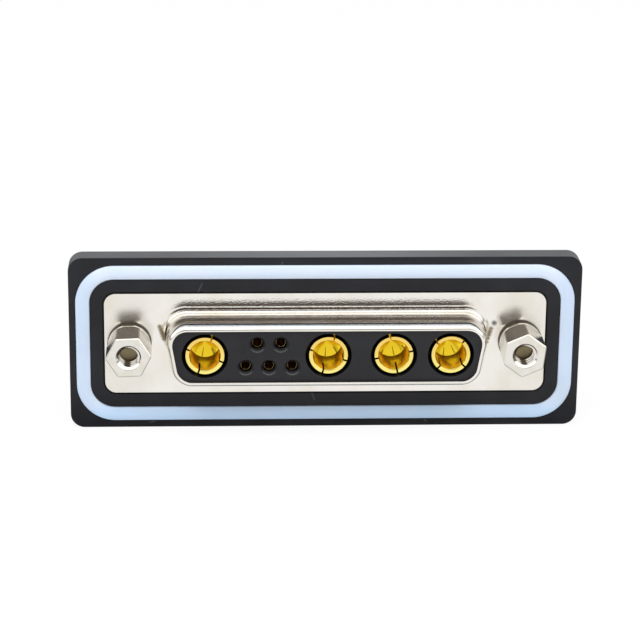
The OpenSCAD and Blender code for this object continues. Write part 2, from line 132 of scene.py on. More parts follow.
class Value:
    """A number that changes over a surface; arithmetic on it adds Math nodes."""

    def __init__(self, shader: "Shader", socket: bpy.types.NodeSocket) -> None:
        """Keeps the socket and the shader that it belongs to."""
        self.shader = shader
        self.socket = socket

    def _math(self, operation: str, first: "Number", second: "Number") -> "Value":
        """Returns the result of one Math node on two numbers."""
        node = self.shader.node("ShaderNodeMath", {"operation": operation}, {0: first, 1: second})
        return Value(self.shader, node.outputs[0])

    def __add__(self, other: "Number") -> "Value":
        """Adds."""
        return self._math("ADD", self, other)

    def __radd__(self, other: "Number") -> "Value":
        """Adds, from the right."""
        return self._math("ADD", other, self)

    def __sub__(self, other: "Number") -> "Value":
        """Subtracts."""
        return self._math("SUBTRACT", self, other)

    def __rsub__(self, other: "Number") -> "Value":
        """Subtracts, from the right."""
        return self._math("SUBTRACT", other, self)

    def __mul__(self, other: "Number") -> "Value":
        """Multiplies."""
        return self._math("MULTIPLY", self, other)

    def __rmul__(self, other: "Number") -> "Value":
        """Multiplies, from the right."""
        return self._math("MULTIPLY", other, self)

    def __pow__(self, other: "Number") -> "Value":
        """Raises to a power."""
        return self._math("POWER", self, other)

    def at_most(self, other: "Number") -> "Value":
        """Returns the smaller of two numbers."""
        return self._math("MINIMUM", self, other)

    def at_least(self, other: "Number") -> "Value":
        """Returns the larger of two numbers."""
        return self._math("MAXIMUM", self, other)

    def size(self) -> "Value":
        """Returns the number without its sign."""
        return self._math("ABSOLUTE", self, 0.0)

    def diagonal(self, other: "Value") -> "Value":
        """Returns the length of a step of this number one way and another number across it."""
        return (self * self + other * other) ** 0.5

    def rise(self, low: float, high: float) -> "Value":
        """Rises smoothly from 0 at a low number to 1 at a high one.

        Args:
            low: where the result is 0.
            high: where the result is 1; below low, the result falls instead.

        Returns:
            A mask between 0 and 1.
        """
        inputs = {"Value": self, "From Min": min(low, high), "From Max": max(low, high)}
        node = self.shader.node("ShaderNodeMapRange", {"interpolation_type": "SMOOTHSTEP"}, inputs)
        mask = Value(self.shader, node.outputs[0])
        return mask if low < high else 1.0 - mask


Number = Union[float, Value]
Feed = Union[float, Colour, Value, bpy.types.NodeSocket]


class Shader:
    """A node tree in the making."""

    def __init__(self, tree: bpy.types.NodeTree) -> None:
        """Empties a node tree."""
        self.tree = tree
        self.tree.nodes.clear()

    def node(self, kind: str, settings: dict[str, object],
             inputs: dict[Union[str, int], Feed]) -> bpy.types.Node:
        """Adds one node.

        Args:
            kind: the node's type.
            settings: the node's own settings, set first.
            inputs: a value, link or wrapped number for each named or numbered socket.

        Returns:
            The node.
        """
        node = self.tree.nodes.new(kind)
        for name, setting in settings.items():
            setattr(node, name, setting)
        for key, feed in inputs.items():
            socket = node.inputs[key]
            if isinstance(feed, Value):
                self.tree.links.new(feed.socket, socket)
            elif isinstance(feed, bpy.types.NodeSocket):
                self.tree.links.new(feed, socket)
            elif isinstance(feed, tuple) and len(feed) == 3 and socket.type == "RGBA":
                socket.default_value = (*feed, 1.0)
            else:
                socket.default_value = feed
        return node

    def coordinates(self, output: str = "Object") -> bpy.types.NodeSocket:
        """Returns the piece's own coordinates, in metres."""
        return self.node("ShaderNodeTexCoord", {}, {}).outputs[output]

    def vector_math(self, operation: str, first: Feed, second: Feed) -> bpy.types.Node:
        """Returns a Vector Math node on two vectors."""
        return self.node("ShaderNodeVectorMath", {"operation": operation}, {0: first, 1: second})

    def stretched(self, scale: Place) -> bpy.types.NodeSocket:
        """Returns the piece's coordinates times a scale for each axis."""
        return self.vector_math("MULTIPLY", self.coordinates(), scale).outputs[0]

    def axes(self) -> tuple[Value, Value, Value]:
        """Returns the piece's coordinates along its three axes, in millimetres."""
        parts = self.node("ShaderNodeSeparateXYZ", {}, {0: self.stretched(PER_METRE)}).outputs
        return Value(self, parts[0]), Value(self, parts[1]), Value(self, parts[2])

    def distance(self, place: Place) -> Value:
        """Returns the distance from a place on the piece, both in millimetres."""
        node = self.vector_math("DISTANCE", self.stretched(PER_METRE), place)
        return Value(self, node.outputs["Value"])

    def from_post_axis(self) -> Value:
        """Returns the distance from the nearer post's axis, in millimetres."""
        across, _, up = self.axes()
        return (across.size() - POST_X).diagonal(up)

    def along(self, way: bpy.types.NodeSocket, direction: Vector) -> Value:
        """Returns a vector's share along a direction."""
        node = self.vector_math("DOT_PRODUCT", way, tuple(direction))
        return Value(self, node.outputs["Value"])

    def noise(self, size: float, detail: float = 2.0, across: Feed | None = None) -> Value:
        """Adds a noise.

        Args:
            size: the size of its spots, in millimetres, or in units of the coordinates given.
            detail: how much finer noise is laid over it.
            across: coordinates to use in place of the piece's own.

        Returns:
            The noise, between 0 and 1, about 0.5.
        """
        scale = 1.0 / size if across is not None else 1.0 / (size * MILLIMETRE)
        vector = across if across is not None else self.coordinates()
        inputs = {"Vector": vector, "Scale": scale, "Detail": detail, "Roughness": 0.55}
        return Value(self, self.node("ShaderNodeTexNoise", {}, inputs).outputs[0])

    def specks(self, size: float, reach: float) -> Value:
        """Adds sparse round specks.

        Args:
            size: the spacing of the cells, in millimetres.
            reach: the part of a cell that its speck fills.

        Returns:
            A mask, 1 in a speck.
        """
        inputs = {"Vector": self.coordinates(), "Scale": 1.0 / (size * MILLIMETRE)}
        node = self.node("ShaderNodeTexVoronoi", {}, inputs)
        return Value(self, node.outputs["Distance"]).rise(reach, reach * 0.5)

    def hairline(self, scratch: Scratch, outer: float = 0.07, inner: float = 0.02) -> Value:
        """Draws a fine straight scratch on the front, in millimetres.

        Args:
            scratch: its two ends, across and up.
            outer: how far from its middle it has faded away.
            inner: how far from its middle it is full.

        Returns:
            A mask, 1 along the scratch.
        """
        (begin_x, begin_z), (finish_x, finish_z) = scratch
        across, _, up = self.axes()
        run_x, run_z = finish_x - begin_x, finish_z - begin_z
        from_x, from_z = across - begin_x, up - begin_z
        share = (from_x * run_x + from_z * run_z) * (1 / (run_x * run_x + run_z * run_z))
        share = share.at_least(0.0).at_most(1.0)
        return (from_x - share * run_x).diagonal(from_z - share * run_z).rise(outer, inner)

    def blend(self, mask: Number, under: Feed, over: Feed) -> bpy.types.NodeSocket:
        """Mixes two colours by a mask."""
        node = self.node("ShaderNodeMix", {"data_type": "RGBA"}, {0: mask, 6: under, 7: over})
        return node.outputs[2]

    def bump(self, height: Value, depth: float) -> bpy.types.NodeSocket:
        """Returns a normal bumped by a height between 0 and 1, whose full depth is in millimetres."""
        inputs = {"Height": height, "Distance": depth * MILLIMETRE, "Strength": 1.0}
        return self.node("ShaderNodeBump", {}, inputs).outputs[0]

    def surface(self, inputs: dict[str, Feed]) -> None:
        """Ends the tree with one Principled surface."""
        body = self.node("ShaderNodeBsdfPrincipled", {}, inputs)
        self.node("ShaderNodeOutputMaterial", {}, {"Surface": body.outputs[0]})


def new_material(name: str) -> tuple[bpy.types.Material, Shader]:
    """Starts a material.

    Args:
        name: its name.

    Returns:
        The material and its empty shader.
    """
    material = bpy.data.materials.new(name)
    material.use_nodes = True
    return material, Shader(material.node_tree)


@dataclass(frozen=True)
class Finish:
    """A surface finish; places, depths and reaches in it are in millimetres."""

    name: str

    def paint(self, shader: Shader) -> dict[str, Feed]:
        """Returns the inputs of the finish's Principled surface."""
        raise NotImplementedError

    def make(self) -> bpy.types.Material:
        """Makes the finish's material.

        Returns:
            The material.
        """
        material, shader = new_material(self.name)
        shader.surface(self.paint(shader))
        return material


@dataclass(frozen=True)
class MouldedPlastic(Finish):
    """Black moulded plastic: matt, finely textured, with a few light specks and rubbed places, a painted
    sheen on its sides and a painted highlight under some holes' rims.
    """

    dark: Colour = (0.0015, 0.0017, 0.0037)
    worn: Colour = (0.017, 0.018, 0.024)
    # Painted sheen: the colour of the surfaces behind the front face.
    sides: Colour = (0.073, 0.078, 0.087)
    # Painted highlight: the colour of the band under each listed hole's rim.
    rim_highlight: Colour = (0.05, 0.052, 0.055)
    scratch: Colour = (0.09, 0.095, 0.105)
    speck: Colour = (0.12, 0.12, 0.12)
    roughness: float = 0.42
    grain: float = 0.12
    grain_depth: float = 0.006
    speck_gap: float = 2.6
    gloss: float = 0.35
    lit_rim_holes: tuple[Point, ...] = ()
    rim: Point = (0.0, 0.0)
    scratches: tuple[Scratch, ...] = ()

    def paint(self, shader: Shader) -> dict[str, Feed]:
        """Draws the grain, the painted sheen on the sides, the painted highlight under the listed holes'
        rims, the scratches and the specks.

        Args:
            shader: the material's shader.

        Returns:
            The inputs of its Principled surface.
        """
        fine = shader.noise(self.grain, 3.0)
        broad = shader.noise(6.0, 2.0)
        specks = shader.specks(self.speck_gap, 0.035) * shader.noise(5.0, 0.0).rise(0.5, 0.62)
        rubbed = broad.rise(0.35, 0.75) * 0.4 + fine.rise(0.4, 0.75) * 0.6
        colour = shader.blend(rubbed, self.dark, self.worn)
        across, depth, up = shader.axes()
        # Painted sheen: surfaces behind the front face are paler, palest across the middle.
        side = depth.rise(0.08, 0.2) * (0.36 + 0.64 * across.size().rise(21.0, 3.0))
        colour = shader.blend(side, colour, self.sides)
        inner, outer = self.rim
        middle = 0.5 * (inner + outer)
        # Painted highlight: a pale band on the lower part of each listed hole's rim.
        for x, z in self.lit_rim_holes:
            reach = shader.distance((x, INSULATOR_FACE, z))
            below = up.rise(z - 0.4 * outer, z - 0.75 * outer)
            band = reach.rise(0.98 * middle, 1.08 * middle) * reach.rise(1.04 * outer, 0.98 * outer)
            colour = shader.blend(band * below, colour, self.rim_highlight)
        for scratch in self.scratches:
            colour = shader.blend(0.7 * shader.hairline(scratch), colour, self.scratch)
        return {
            "Base Color": shader.blend(specks, colour, self.speck),
            "Roughness": self.roughness + 0.22 * (broad - 0.5) + 0.12 * (fine - 0.5),
            "Specular IOR Level": self.gloss,
            "Normal": shader.bump(fine, self.grain_depth),
        }


@dataclass(frozen=True)
class Silicone(Finish):
    """Pale blue silicone: satin, faintly cloudy, a little light passing through."""

    pale: Colour = (0.605, 0.68, 0.8)
    # The deep and side colours are painted shade, for the lower run and the side runs.
    deep: Colour = (0.42, 0.64, 0.89)
    side: Colour = (0.51, 0.605, 0.745)
    roughness: float = 0.42

    def paint(self, shader: Shader) -> dict[str, Feed]:
        """Draws the clouds, and painted shade: a deeper blue on the lower run and towards the groove, and
        greyer side runs.

        Args:
            shader: the material's shader.

        Returns:
            The inputs of its Principled surface.
        """
        cloud = shader.noise(3.5, 2.0)
        skin = shader.noise(0.25, 2.0)
        across, depth, up = shader.axes()
        # Painted shade: the lower run turns deeper blue, the seal deeper blue towards the groove, and the
        # side runs greyer.
        lower = up.rise(-7.0, -8.8)
        beside = across.size().rise(26.8, 29.2)
        tone = cloud.rise(0.35, 0.7) * 0.1 + depth.rise(-0.22, 0.3) * 0.1 + lower * 0.5
        colour = shader.blend(tone, self.pale, self.deep)
        return {
            "Base Color": shader.blend(beside * (1.0 - 0.6 * lower), colour, self.side),
            "Roughness": self.roughness + 0.14 * (skin - 0.5),
            "Specular IOR Level": 0.35,
            "Subsurface Weight": 0.12,
            "Subsurface Radius": (0.0006, 0.0008, 0.001),
            "Normal": shader.bump(skin, 0.004),
        }


@dataclass(frozen=True)
class DarkMark:
    """A dark olive mark on the flange, about a place in millimetres."""

    x: float
    z: float
    reach: float
    shade: Colour = (0.17, 0.12, 0.045)


@dataclass(frozen=True)
class NickelSheet(Finish):
    """Nickel-plated drawn sheet: satin and grainy on the flat, smoother and streaked on the drawn wall."""

    bright: Colour = (0.86, 0.83, 0.785)
    warm: Colour = (0.79, 0.75, 0.655)
    flat_roughness: float = 0.11
    end_roughness: float = 0.12
    wall_roughness: float = 0.16
    dark_marks: tuple[DarkMark, ...] = ()

    def paint(self, shader: Shader) -> dict[str, Feed]:
        """Draws the tarnish and the dark olive marks, and the grain of the flat and the streaks of the wall.

        Args:
            shader: the material's shader.

        Returns:
            The inputs of its Principled surface.
        """
        across, depth, _ = shader.axes()
        outwards = across.size()
        wall = depth.rise(-0.05, -0.6)
        grain = shader.noise(0.2, 2.0)
        wave = shader.noise(5.0, 1.0)
        streak = shader.noise(1.0, 3.0, shader.stretched((180.0, 5200.0, 5200.0)))
        tarnish = shader.noise(5.0, 3.0).rise(0.4, 0.7) * 0.7 + outwards.rise(19.5, 23.5) * 0.3
        colour = shader.blend(tarnish, self.bright, self.warm)
        # Dark olive marks, listed along the D's root on both sides.
        for dark_mark in self.dark_marks:
            ragged = shader.distance((dark_mark.x, 0.0, dark_mark.z)) + (grain - 0.5) * 0.35 * dark_mark.reach
            mask = ragged.rise(dark_mark.reach, 0.2 * dark_mark.reach) * 0.85
            colour = shader.blend(mask, colour, dark_mark.shade)
        ends = outwards.rise(20.3, 22.2)
        flat = self.flat_roughness + self.end_roughness * ends + 0.1 * (grain - 0.5)
        drawn = self.wall_roughness + 0.1 * (streak - 0.5)
        relief = (1.0 - wall) * grain * 1.7 + wall * streak * 0.4 + wave * 2.0
        return {
            "Base Color": colour,
            "Metallic": 1.0,
            "Roughness": flat + wall * (drawn - flat),
            "Normal": shader.bump(relief, 0.006),
        }


@dataclass(frozen=True)
class TurnedNickel(Finish):
    """Nickel-plated turned steel: brighter than the sheet, with fine tool marks and a rougher hole end,
    darkened by painted shade.
    """

    hole: float
    hole_end: float
    bright: Colour = (0.8, 0.775, 0.72)
    warm: Colour = (0.76, 0.725, 0.64)
    # The two colours below are painted shade at the hole end.
    shade_tone: Colour = (0.5, 0.42, 0.26)
    shade: Colour = (0.3, 0.23, 0.13)
    roughness: float = 0.21

    def paint(self, shader: Shader) -> dict[str, Feed]:
        """Draws the tool marks, the smooth hole and its rougher end, darkened by painted shade that deepens
        towards its rim.

        Args:
            shader: the material's shader.

        Returns:
            The inputs of its Principled surface.
        """
        marks = shader.noise(1.0, 2.0, shader.stretched((900.0, 9000.0, 900.0)))
        patch = shader.noise(1.6, 2.0)
        depth = shader.axes()[1]
        reach = shader.from_post_axis()
        bored = reach.rise(1.3 * self.hole, 1.2 * self.hole) * depth.rise(-0.6, -0.8)
        inside = bored * depth.rise(self.hole_end - 0.2, self.hole_end - 0.1)
        colour = shader.blend(patch.rise(0.4, 0.7), self.bright, self.warm)
        # Painted shade: the hole end is darker, darkest towards its rim.
        ragged = reach + (shader.noise(0.35, 2.0) - 0.5) * 0.3
        end = shader.blend(ragged.rise(0.8 * self.hole, self.hole), self.shade_tone, self.shade)
        worked = self.roughness + 0.08 * (marks - 0.5) + 0.06 * (patch - 0.5)
        return {
            "Base Color": shader.blend(inside, colour, end),
            "Metallic": 1.0,
            "Roughness": worked + 0.45 * inside - 0.1 * bored,
            "Normal": shader.bump(marks, 0.0006),
        }


@dataclass(frozen=True)
class ShadedRimWasher(Finish):
    """Spring steel washer: plated on its face, with painted shade on its rim: brown, less metallic and
    rougher.
    """

    rim: float
    face: Colour = (0.8, 0.77, 0.7)
    # Painted shade: the colour of the washer's outer rim.
    brown: Colour = (0.03, 0.021, 0.009)

    def paint(self, shader: Shader) -> dict[str, Feed]:
        """Draws the painted shade on the rim: brown, less metallic and rougher.

        Args:
            shader: the material's shader.

        Returns:
            The inputs of its Principled surface.
        """
        marks = shader.noise(0.3, 2.0)
        ragged = shader.from_post_axis() + (marks - 0.5) * 0.06
        # Painted shade: the outer rim turns dark brown.
        edge = ragged.rise(self.rim - 0.09, self.rim - 0.05)
        return {
            "Base Color": shader.blend(edge, self.face, self.brown),
            "Metallic": 1.0 - 0.8 * edge,
            "Roughness": 0.16 + 0.1 * (marks - 0.5) + 0.3 * edge,
        }


@dataclass(frozen=True)
class GoldPlate(Finish):
    """Gold plate on turned brass: bright, with faint turning rings, and with painted shade and a painted
    highlight in its bores.
    """

    gold: Colour = (0.98, 0.84, 0.22)
    deep: Colour = (0.97, 0.81, 0.18)
    roughness: float = 0.09
    bore: Station = (0.0, 0.0)
    bore_radius: float = 0.0
    axes_at: tuple[float, ...] = ()
    # Painted shade: the colour of the bore walls.
    bore_shade: Colour = (0.94, 0.64, 0.06)
    # Painted highlight: the colour of the drill points.
    point: Colour = (1.0, 1.0, 0.2)
    # Painted shade: the colour of the upper part of the front ring.
    upper: Colour = (0.88, 0.62, 0.135)
    # Painted shade: the colour of the slit walls.
    brown: Colour = (0.13, 0.07, 0.014)

    def paint_bores(self, shader: Shader, colour: Feed) -> Feed:
        """Draws painted light in the bores: a painted highlight on the drill points, painted shade on the
        upper rims and in the slits.

        Args:
            shader: the material's shader.
            colour: the colour under them.

        Returns:
            The colour with them.
        """
        begin, finish = self.bore
        across, depth, up = shader.axes()
        # Painted highlight: the drill point turns bright yellow.
        drilled = depth.rise(finish - 0.1, finish) * depth.rise(finish + 1.8, finish + 1.6)
        colour = shader.blend(drilled, colour, self.point)
        # Painted shade: the upper part of the front ring turns deeper amber.
        front = depth.rise(begin + 0.05, begin - 0.05) * up.rise(-2.2, 1.8)
        colour = shader.blend(front, colour, self.upper)
        aside = (across - self.axes_at[0]).size()
        for x in self.axes_at[1:]:
            aside = aside.at_most((across - x).size())
        # Painted shade: the slit walls turn dark brown.
        sawn = aside.diagonal(up).rise(self.bore_radius + 0.03, self.bore_radius + 0.12)
        slit = sawn * depth.rise(begin, begin + 0.08) * depth.rise(finish, finish - 0.1)
        return shader.blend(slit, colour, self.brown)

    def paint(self, shader: Shader) -> dict[str, Feed]:
        """Draws the plate and the painted shade of the bores, a deeper amber on their walls.

        Args:
            shader: the material's shader.

        Returns:
            The inputs of its Principled surface.
        """
        rings = shader.noise(1.0, 1.0, shader.stretched((350.0, 7000.0, 350.0)))
        patch = shader.noise(1.1, 2.0)
        begin, finish = self.bore
        depth = shader.axes()[1]
        wall = depth.rise(begin, begin + 0.3) * depth.rise(finish, finish - 0.1)
        colour = shader.blend(patch.rise(0.4, 0.75), self.gold, self.deep)
        # Painted shade: the bore walls turn deeper amber.
        colour = shader.blend(wall, colour, self.bore_shade)
        if self.axes_at:
            colour = self.paint_bores(shader, colour)
        return {
            "Base Color": colour,
            "Metallic": 1.0 - 0.2 * wall,
            "Roughness": self.roughness + 0.05 * (rings - 0.5) + 0.03 * (patch - 0.5) + 0.08 * wall,
            "Coat Weight": 0.9,
            "Normal": shader.bump(rings, 0.0004),
        }


@dataclass(frozen=True)
class CastResin(Finish):
    """Black cast resin: glossy, with a slow ripple and small pits."""

    dark: Colour = (0.008, 0.008, 0.009)
    dusty: Colour = (0.022, 0.021, 0.02)

    def paint(self, shader: Shader) -> dict[str, Feed]:
        """Draws the dust, the ripple and the pits.

        Args:
            shader: the material's shader.

        Returns:
            The inputs of its Principled surface.
        """
        ripple = shader.noise(3.0, 2.0)
        pits = shader.specks(1.3, 0.09)
        dust = shader.noise(0.5, 3.0).rise(0.5, 0.75)
        return {
            "Base Color": shader.blend(dust, self.dark, self.dusty),
            "Roughness": 0.2 + 0.25 * dust,
            "Specular IOR Level": 0.5,
            "Normal": shader.bump(ripple * 2.0 - pits, 0.03),
        }


@dataclass(frozen=True)
class SpringBronze(Finish):
    """Bare spring bronze: warm brown-gold with rolling streaks."""

    bright: Colour = (0.72, 0.5, 0.26)
    brown: Colour = (0.5, 0.32, 0.15)

    def paint(self, shader: Shader) -> dict[str, Feed]:
        """Draws the streaks.

        Args:
            shader: the material's shader.

        Returns:
            The inputs of its Principled surface.
        """
        streak = shader.noise(1.0, 2.0, shader.stretched((3000.0, 300.0, 3000.0)))
        return {
            "Base Color": shader.blend(streak.rise(0.4, 0.7), self.bright, self.brown),
            "Metallic": 1.0,
            "Roughness": 0.25 + 0.2 * (streak - 0.5),
        }


@dataclass(frozen=True)
class Outline:
    """A four-cornered outline with round corners, seen from the front, in millimetres."""

    middle_width: float
    height: float
    radius: float
    slope: float = 0.0

    def grown(self, by: float) -> "Outline":
        """Returns the outline moved outwards by a distance."""
        side = by / math.cos(math.radians(self.slope))
        return Outline(self.middle_width + 2 * side, self.height + 2 * by, self.radius + by, self.slope)

    def side_width(self, upper: bool) -> float:
        """Returns the width of the upper or lower side, between its sharp corners."""
        lean = self.height * math.tan(math.radians(self.slope))
        return self.middle_width + (lean if upper else -lean)

    def corner_reach(self, upper: bool) -> float:
        """Returns how far an upper or lower corner's arc reaches along its sides."""
        turn = 90 + self.slope if upper else 90 - self.slope
        return self.radius * math.tan(math.radians(turn) / 2)


class Bench:
    """One piece in the making, drawn in millimetres with edit-mode operators."""

    def __init__(self, name: str) -> None:
        """Starts an empty piece.

        Args:
            name: the piece's name.
        """
        bpy.ops.object.select_all(action="DESELECT")
        bpy.ops.object.add(type="MESH", location=(0, 0, 0))
        self.object: bpy.types.Object = bpy.context.object
        self.object.name = name
        self.object.data.name = name
        self.ring_count = 0

    def begin(self) -> None:
        """Takes the piece up alone and enters edit mode."""
        self.take()
        bpy.ops.object.mode_set(mode="EDIT")
        bpy.ops.mesh.select_mode(type="VERT")
        bpy.ops.mesh.select_all(action="DESELECT")

    def end(self) -> None:
        """Leaves edit mode."""
        bpy.ops.object.mode_set(mode="OBJECT")

    def take(self) -> None:
        """Selects the piece alone."""
        bpy.ops.object.select_all(action="DESELECT")
        self.object.select_set(True)
        bpy.context.view_layer.objects.active = self.object

    @staticmethod
    def ring_layer(mesh: bmesh.types.BMesh) -> bmesh.types.BMLayerItem:
        """Returns the layer that holds each vertex's ring number."""
        layers = mesh.verts.layers.int
        return layers.get("ring") or layers.new("ring")

    def pick(self, wanted: Callable[[Vector, int], bool]) -> int:
        """Selects vertices in edit mode.

        Args:
            wanted: tells from a vertex's place and ring number whether it is selected.

        Returns:
            How many are selected.
        """
        mesh = bmesh.from_edit_mesh(self.object.data)
        layer = self.ring_layer(mesh)
        count = 0
        for vertex in mesh.verts:
            chosen = wanted(vertex.co, vertex[layer])
            vertex.select_set(chosen)
            count += chosen
        mesh.select_flush(True)
        mesh.select_flush(False)
        bmesh.update_edit_mesh(self.object.data)
        return count

    def mark(self, ring: int) -> None:
        """Gives the selected vertices a ring number.

        Args:
            ring: the number.
        """
        mesh = bmesh.from_edit_mesh(self.object.data)
        layer = self.ring_layer(mesh)
        for vertex in mesh.verts:
            if vertex.select:
                vertex[layer] = ring
        bmesh.update_edit_mesh(self.object.data)

    def ring(self, outline: Outline, y: float) -> int:
        """Draws an outline's ring of edges at a depth, in edit mode.

        Args:
            outline: the outline.
            y: the depth.

        Returns:
            The ring's number.
        """
        self.ring_count += 1
        number = self.ring_count
        bpy.ops.mesh.select_all(action="DESELECT")
        bpy.ops.mesh.primitive_plane_add(size=1, location=(0, y, 0), rotation=(math.pi / 2, 0, 0))
        self.mark(number)
        bpy.ops.transform.resize(value=(outline.middle_width, 1, outline.height))
        for upper in (True, False):
            self.pick(lambda place, ring: ring == number and (place.z > 0) == upper)
            bpy.ops.transform.resize(value=(outline.side_width(upper) / outline.middle_width, 1, 1))
        for upper in (True, False):
            self.pick(lambda place, ring: ring == number and (place.z > 0) == upper)
            bpy.ops.mesh.bevel(offset=outline.corner_reach(upper), offset_type="ABSOLUTE",
                               segments=CORNER_STEPS, profile=0.5, affect="VERTICES", clamp_overlap=False)
        bpy.ops.mesh.select_linked()
        self.mark(number)
        bpy.ops.mesh.delete(type="ONLY_FACE")
        return number

    def bridge(self, first: int, second: int) -> None:
        """Joins two rings by faces, in edit mode."""
        self.pick(lambda place, ring: ring in (first, second))
        bpy.ops.mesh.bridge_edge_loops()

    def close(self, number: int) -> None:
        """Fills a ring with one face, in edit mode."""
        self.pick(lambda place, ring: ring == number)
        bpy.ops.mesh.edge_face_add()

    def loft(self, rings: Sequence[tuple[Outline, float]], closed: bool) -> None:
        """Makes a body through a row of rings.

        Args:
            rings: the outlines and their depths, in order.
            closed: whether the last ring joins the first; otherwise both ends are filled.
        """
        self.begin()
        stack = [level * RING_GAP for level in range(len(rings))]
        numbers = [self.ring(outline, level) for (outline, _), level in zip(rings, stack)]
        for first, second in zip(numbers, numbers[1:]):
            self.bridge(first, second)
        if closed:
            self.bridge(numbers[-1], numbers[0])
        else:
            self.close(numbers[0])
            self.close(numbers[-1])
        for number, (_, y), level in zip(numbers, rings, stack):
            self.pick(lambda place, ring: ring == number)
            bpy.ops.transform.translate(value=(0, y - level, 0))
        self.tidy_mesh()
        self.end()

    def tidy_mesh(self) -> None:
        """Merges doubles and turns all faces outwards, in edit mode."""
        bpy.ops.mesh.select_all(action="SELECT")
        bpy.ops.mesh.remove_doubles(threshold=MERGE_REACH)
        bpy.ops.mesh.normals_make_consistent(inside=False)

    def draw_line(self, stations: Sequence[Station]) -> None:
        """Draws a line of edges, in edit mode.

        Args:
            stations: its (radius, depth) pairs, in order.
        """
        bpy.ops.mesh.select_all(action="DESELECT")
        bpy.ops.mesh.primitive_plane_add(size=1)
        bpy.ops.mesh.merge(type="CENTER")
        bpy.ops.transform.translate(value=(stations[0][0], stations[0][1], 0))
        for (radius, y), (next_radius, next_y) in zip(stations, stations[1:]):
            step = (next_radius - radius, next_y - y, 0)
            bpy.ops.mesh.extrude_vertices_move(TRANSFORM_OT_translate={"value": step})
        bpy.ops.mesh.select_linked()

    def turned(self, stations: Sequence[Station], steps: int = TURN_STEPS) -> "Bench":
        """Turns a profile about the Y axis into a closed body.

        Args:
            stations: (radius, depth) pairs, beginning and ending on the axis or at one another.
            steps: faces round the turn.

        Returns:
            The bench itself.
        """
        self.begin()
        self.draw_line(stations)
        bpy.ops.mesh.spin(steps=steps, angle=FULL_TURN, center=(0, 0, 0), axis=(0, 1, 0))
        self.tidy_mesh()
        self.end()
        return self

    def rod(self, radius: float, low: float, high: float, steps: int = ROD_STEPS) -> "Bench":
        """Makes a plain round bar along Y between two depths, and returns the bench."""
        return self.turned([(0, low), (radius, low), (radius, high), (0, high)], steps)

    def box(self, low: Place, high: Place) -> "Bench":
        """Makes a block between two corners.

        Args:
            low: its lowest corner.
            high: its highest corner.

        Returns:
            The bench itself.
        """
        self.begin()
        middle = [(a + b) / 2 for a, b in zip(low, high)]
        bpy.ops.mesh.primitive_cube_add(size=1, location=middle)
        bpy.ops.transform.resize(value=[b - a for a, b in zip(low, high)])
        self.end()
        return self

    def hexagon(self, flats: float, low: float, high: float) -> "Bench":
        """Makes a six-sided bar along Y with flats up and down.

        Args:
            flats: its width across the flats.
            low: where it begins.
            high: where it ends.

        Returns:
            The bench itself.
        """
        self.begin()
        bpy.ops.mesh.primitive_cylinder_add(vertices=6, radius=flats / math.sqrt(3), depth=high - low)
        self.end()
        return self.turn(90, "X").swivel(30).shift(0, (low + high) / 2, 0)

    def threaded(self, major: float, minor: float, pitch: float, low: float, high: float) -> "Bench":
        """Makes a screw thread along Y, cut off square at both ends.

        Args:
            major: radius of the crests.
            minor: radius of the roots.
            pitch: length of one turn.
            low: where it begins.
            high: where it ends.

        Returns:
            The bench itself.
        """
        turns = math.ceil((high - low) / pitch) + 2
        flank = (major - minor) * math.tan(math.radians(THREAD_FLANK))
        flat = pitch / 2 - flank
        self.begin()
        self.draw_line([(minor, 0), (minor, flat), (major, flat + flank),
                        (major, 2 * flat + flank), (minor, pitch)])
        self.end()
        coil = self.object.modifiers.new("coil", "SCREW")
        coil.axis = "Y"
        coil.screw_offset = pitch
        coil.iterations = turns
        coil.steps = THREAD_STEPS
        coil.render_steps = THREAD_STEPS
        coil.use_merge_vertices = True
        coil.merge_threshold = MERGE_REACH
        self.apply(coil)
        lowest = min(vertex.co.y for vertex in self.object.data.vertices)
        self.shift(0, low - pitch - lowest, 0)
        self.begin()
        bpy.ops.mesh.select_all(action="SELECT")
        bpy.ops.mesh.remove_doubles(threshold=MERGE_REACH)
        bpy.ops.mesh.bisect(plane_co=(0, low, 0), plane_no=(0, 1, 0), use_fill=True, clear_inner=True)
        bpy.ops.mesh.select_all(action="SELECT")
        bpy.ops.mesh.bisect(plane_co=(0, high, 0), plane_no=(0, 1, 0), use_fill=True, clear_outer=True)
        bpy.ops.mesh.select_all(action="SELECT")
        bpy.ops.mesh.normals_make_consistent(inside=False)
        self.end()
        return self

    def apply(self, modifier: bpy.types.Modifier) -> None:
        """Applies a modifier."""
        self.take()
        bpy.ops.object.modifier_apply(modifier=modifier.name)

    def settle(self) -> None:
        """Applies the object's place, turn and scale to its mesh."""
        self.take()
        bpy.ops.object.transform_apply(location=True, rotation=True, scale=True)

    def turn(self, degrees: float, axis: str) -> "Bench":
        """Turns the piece about an axis.

        Args:
            degrees: the turn.
            axis: the axis's letter.

        Returns:
            The bench itself.
        """
        self.object.matrix_world = Matrix.Rotation(math.radians(degrees), 4, axis)
        self.settle()
        return self

    def swivel(self, degrees: float) -> "Bench":
        """Turns the piece anticlockwise, seen from the front, and returns the bench."""
        return self.turn(-degrees, "Y")

    def shift(self, x: float, y: float, z: float) -> "Bench":
        """Moves the piece.

        Args:
            x: the way across.
            y: the way back.
            z: the way up.

        Returns:
            The bench itself.
        """
        self.object.matrix_world = Matrix.Translation((x, y, z))
        self.settle()
        return self

    def shape_by(self, tool: "Bench", cut: Cut) -> None:
        """Shapes the piece by another, which is used up.

        Args:
            tool: the other piece.
            cut: what is done with it.
        """
        modifier = self.object.modifiers.new("shape", "BOOLEAN")
        modifier.operation = cut.value
        modifier.solver = "EXACT"
        modifier.object = tool.object
        self.apply(modifier)
        tool.scrap()

    def scrap(self) -> None:
        """Throws the piece away."""
        bpy.data.objects.remove(self.object, do_unlink=True)

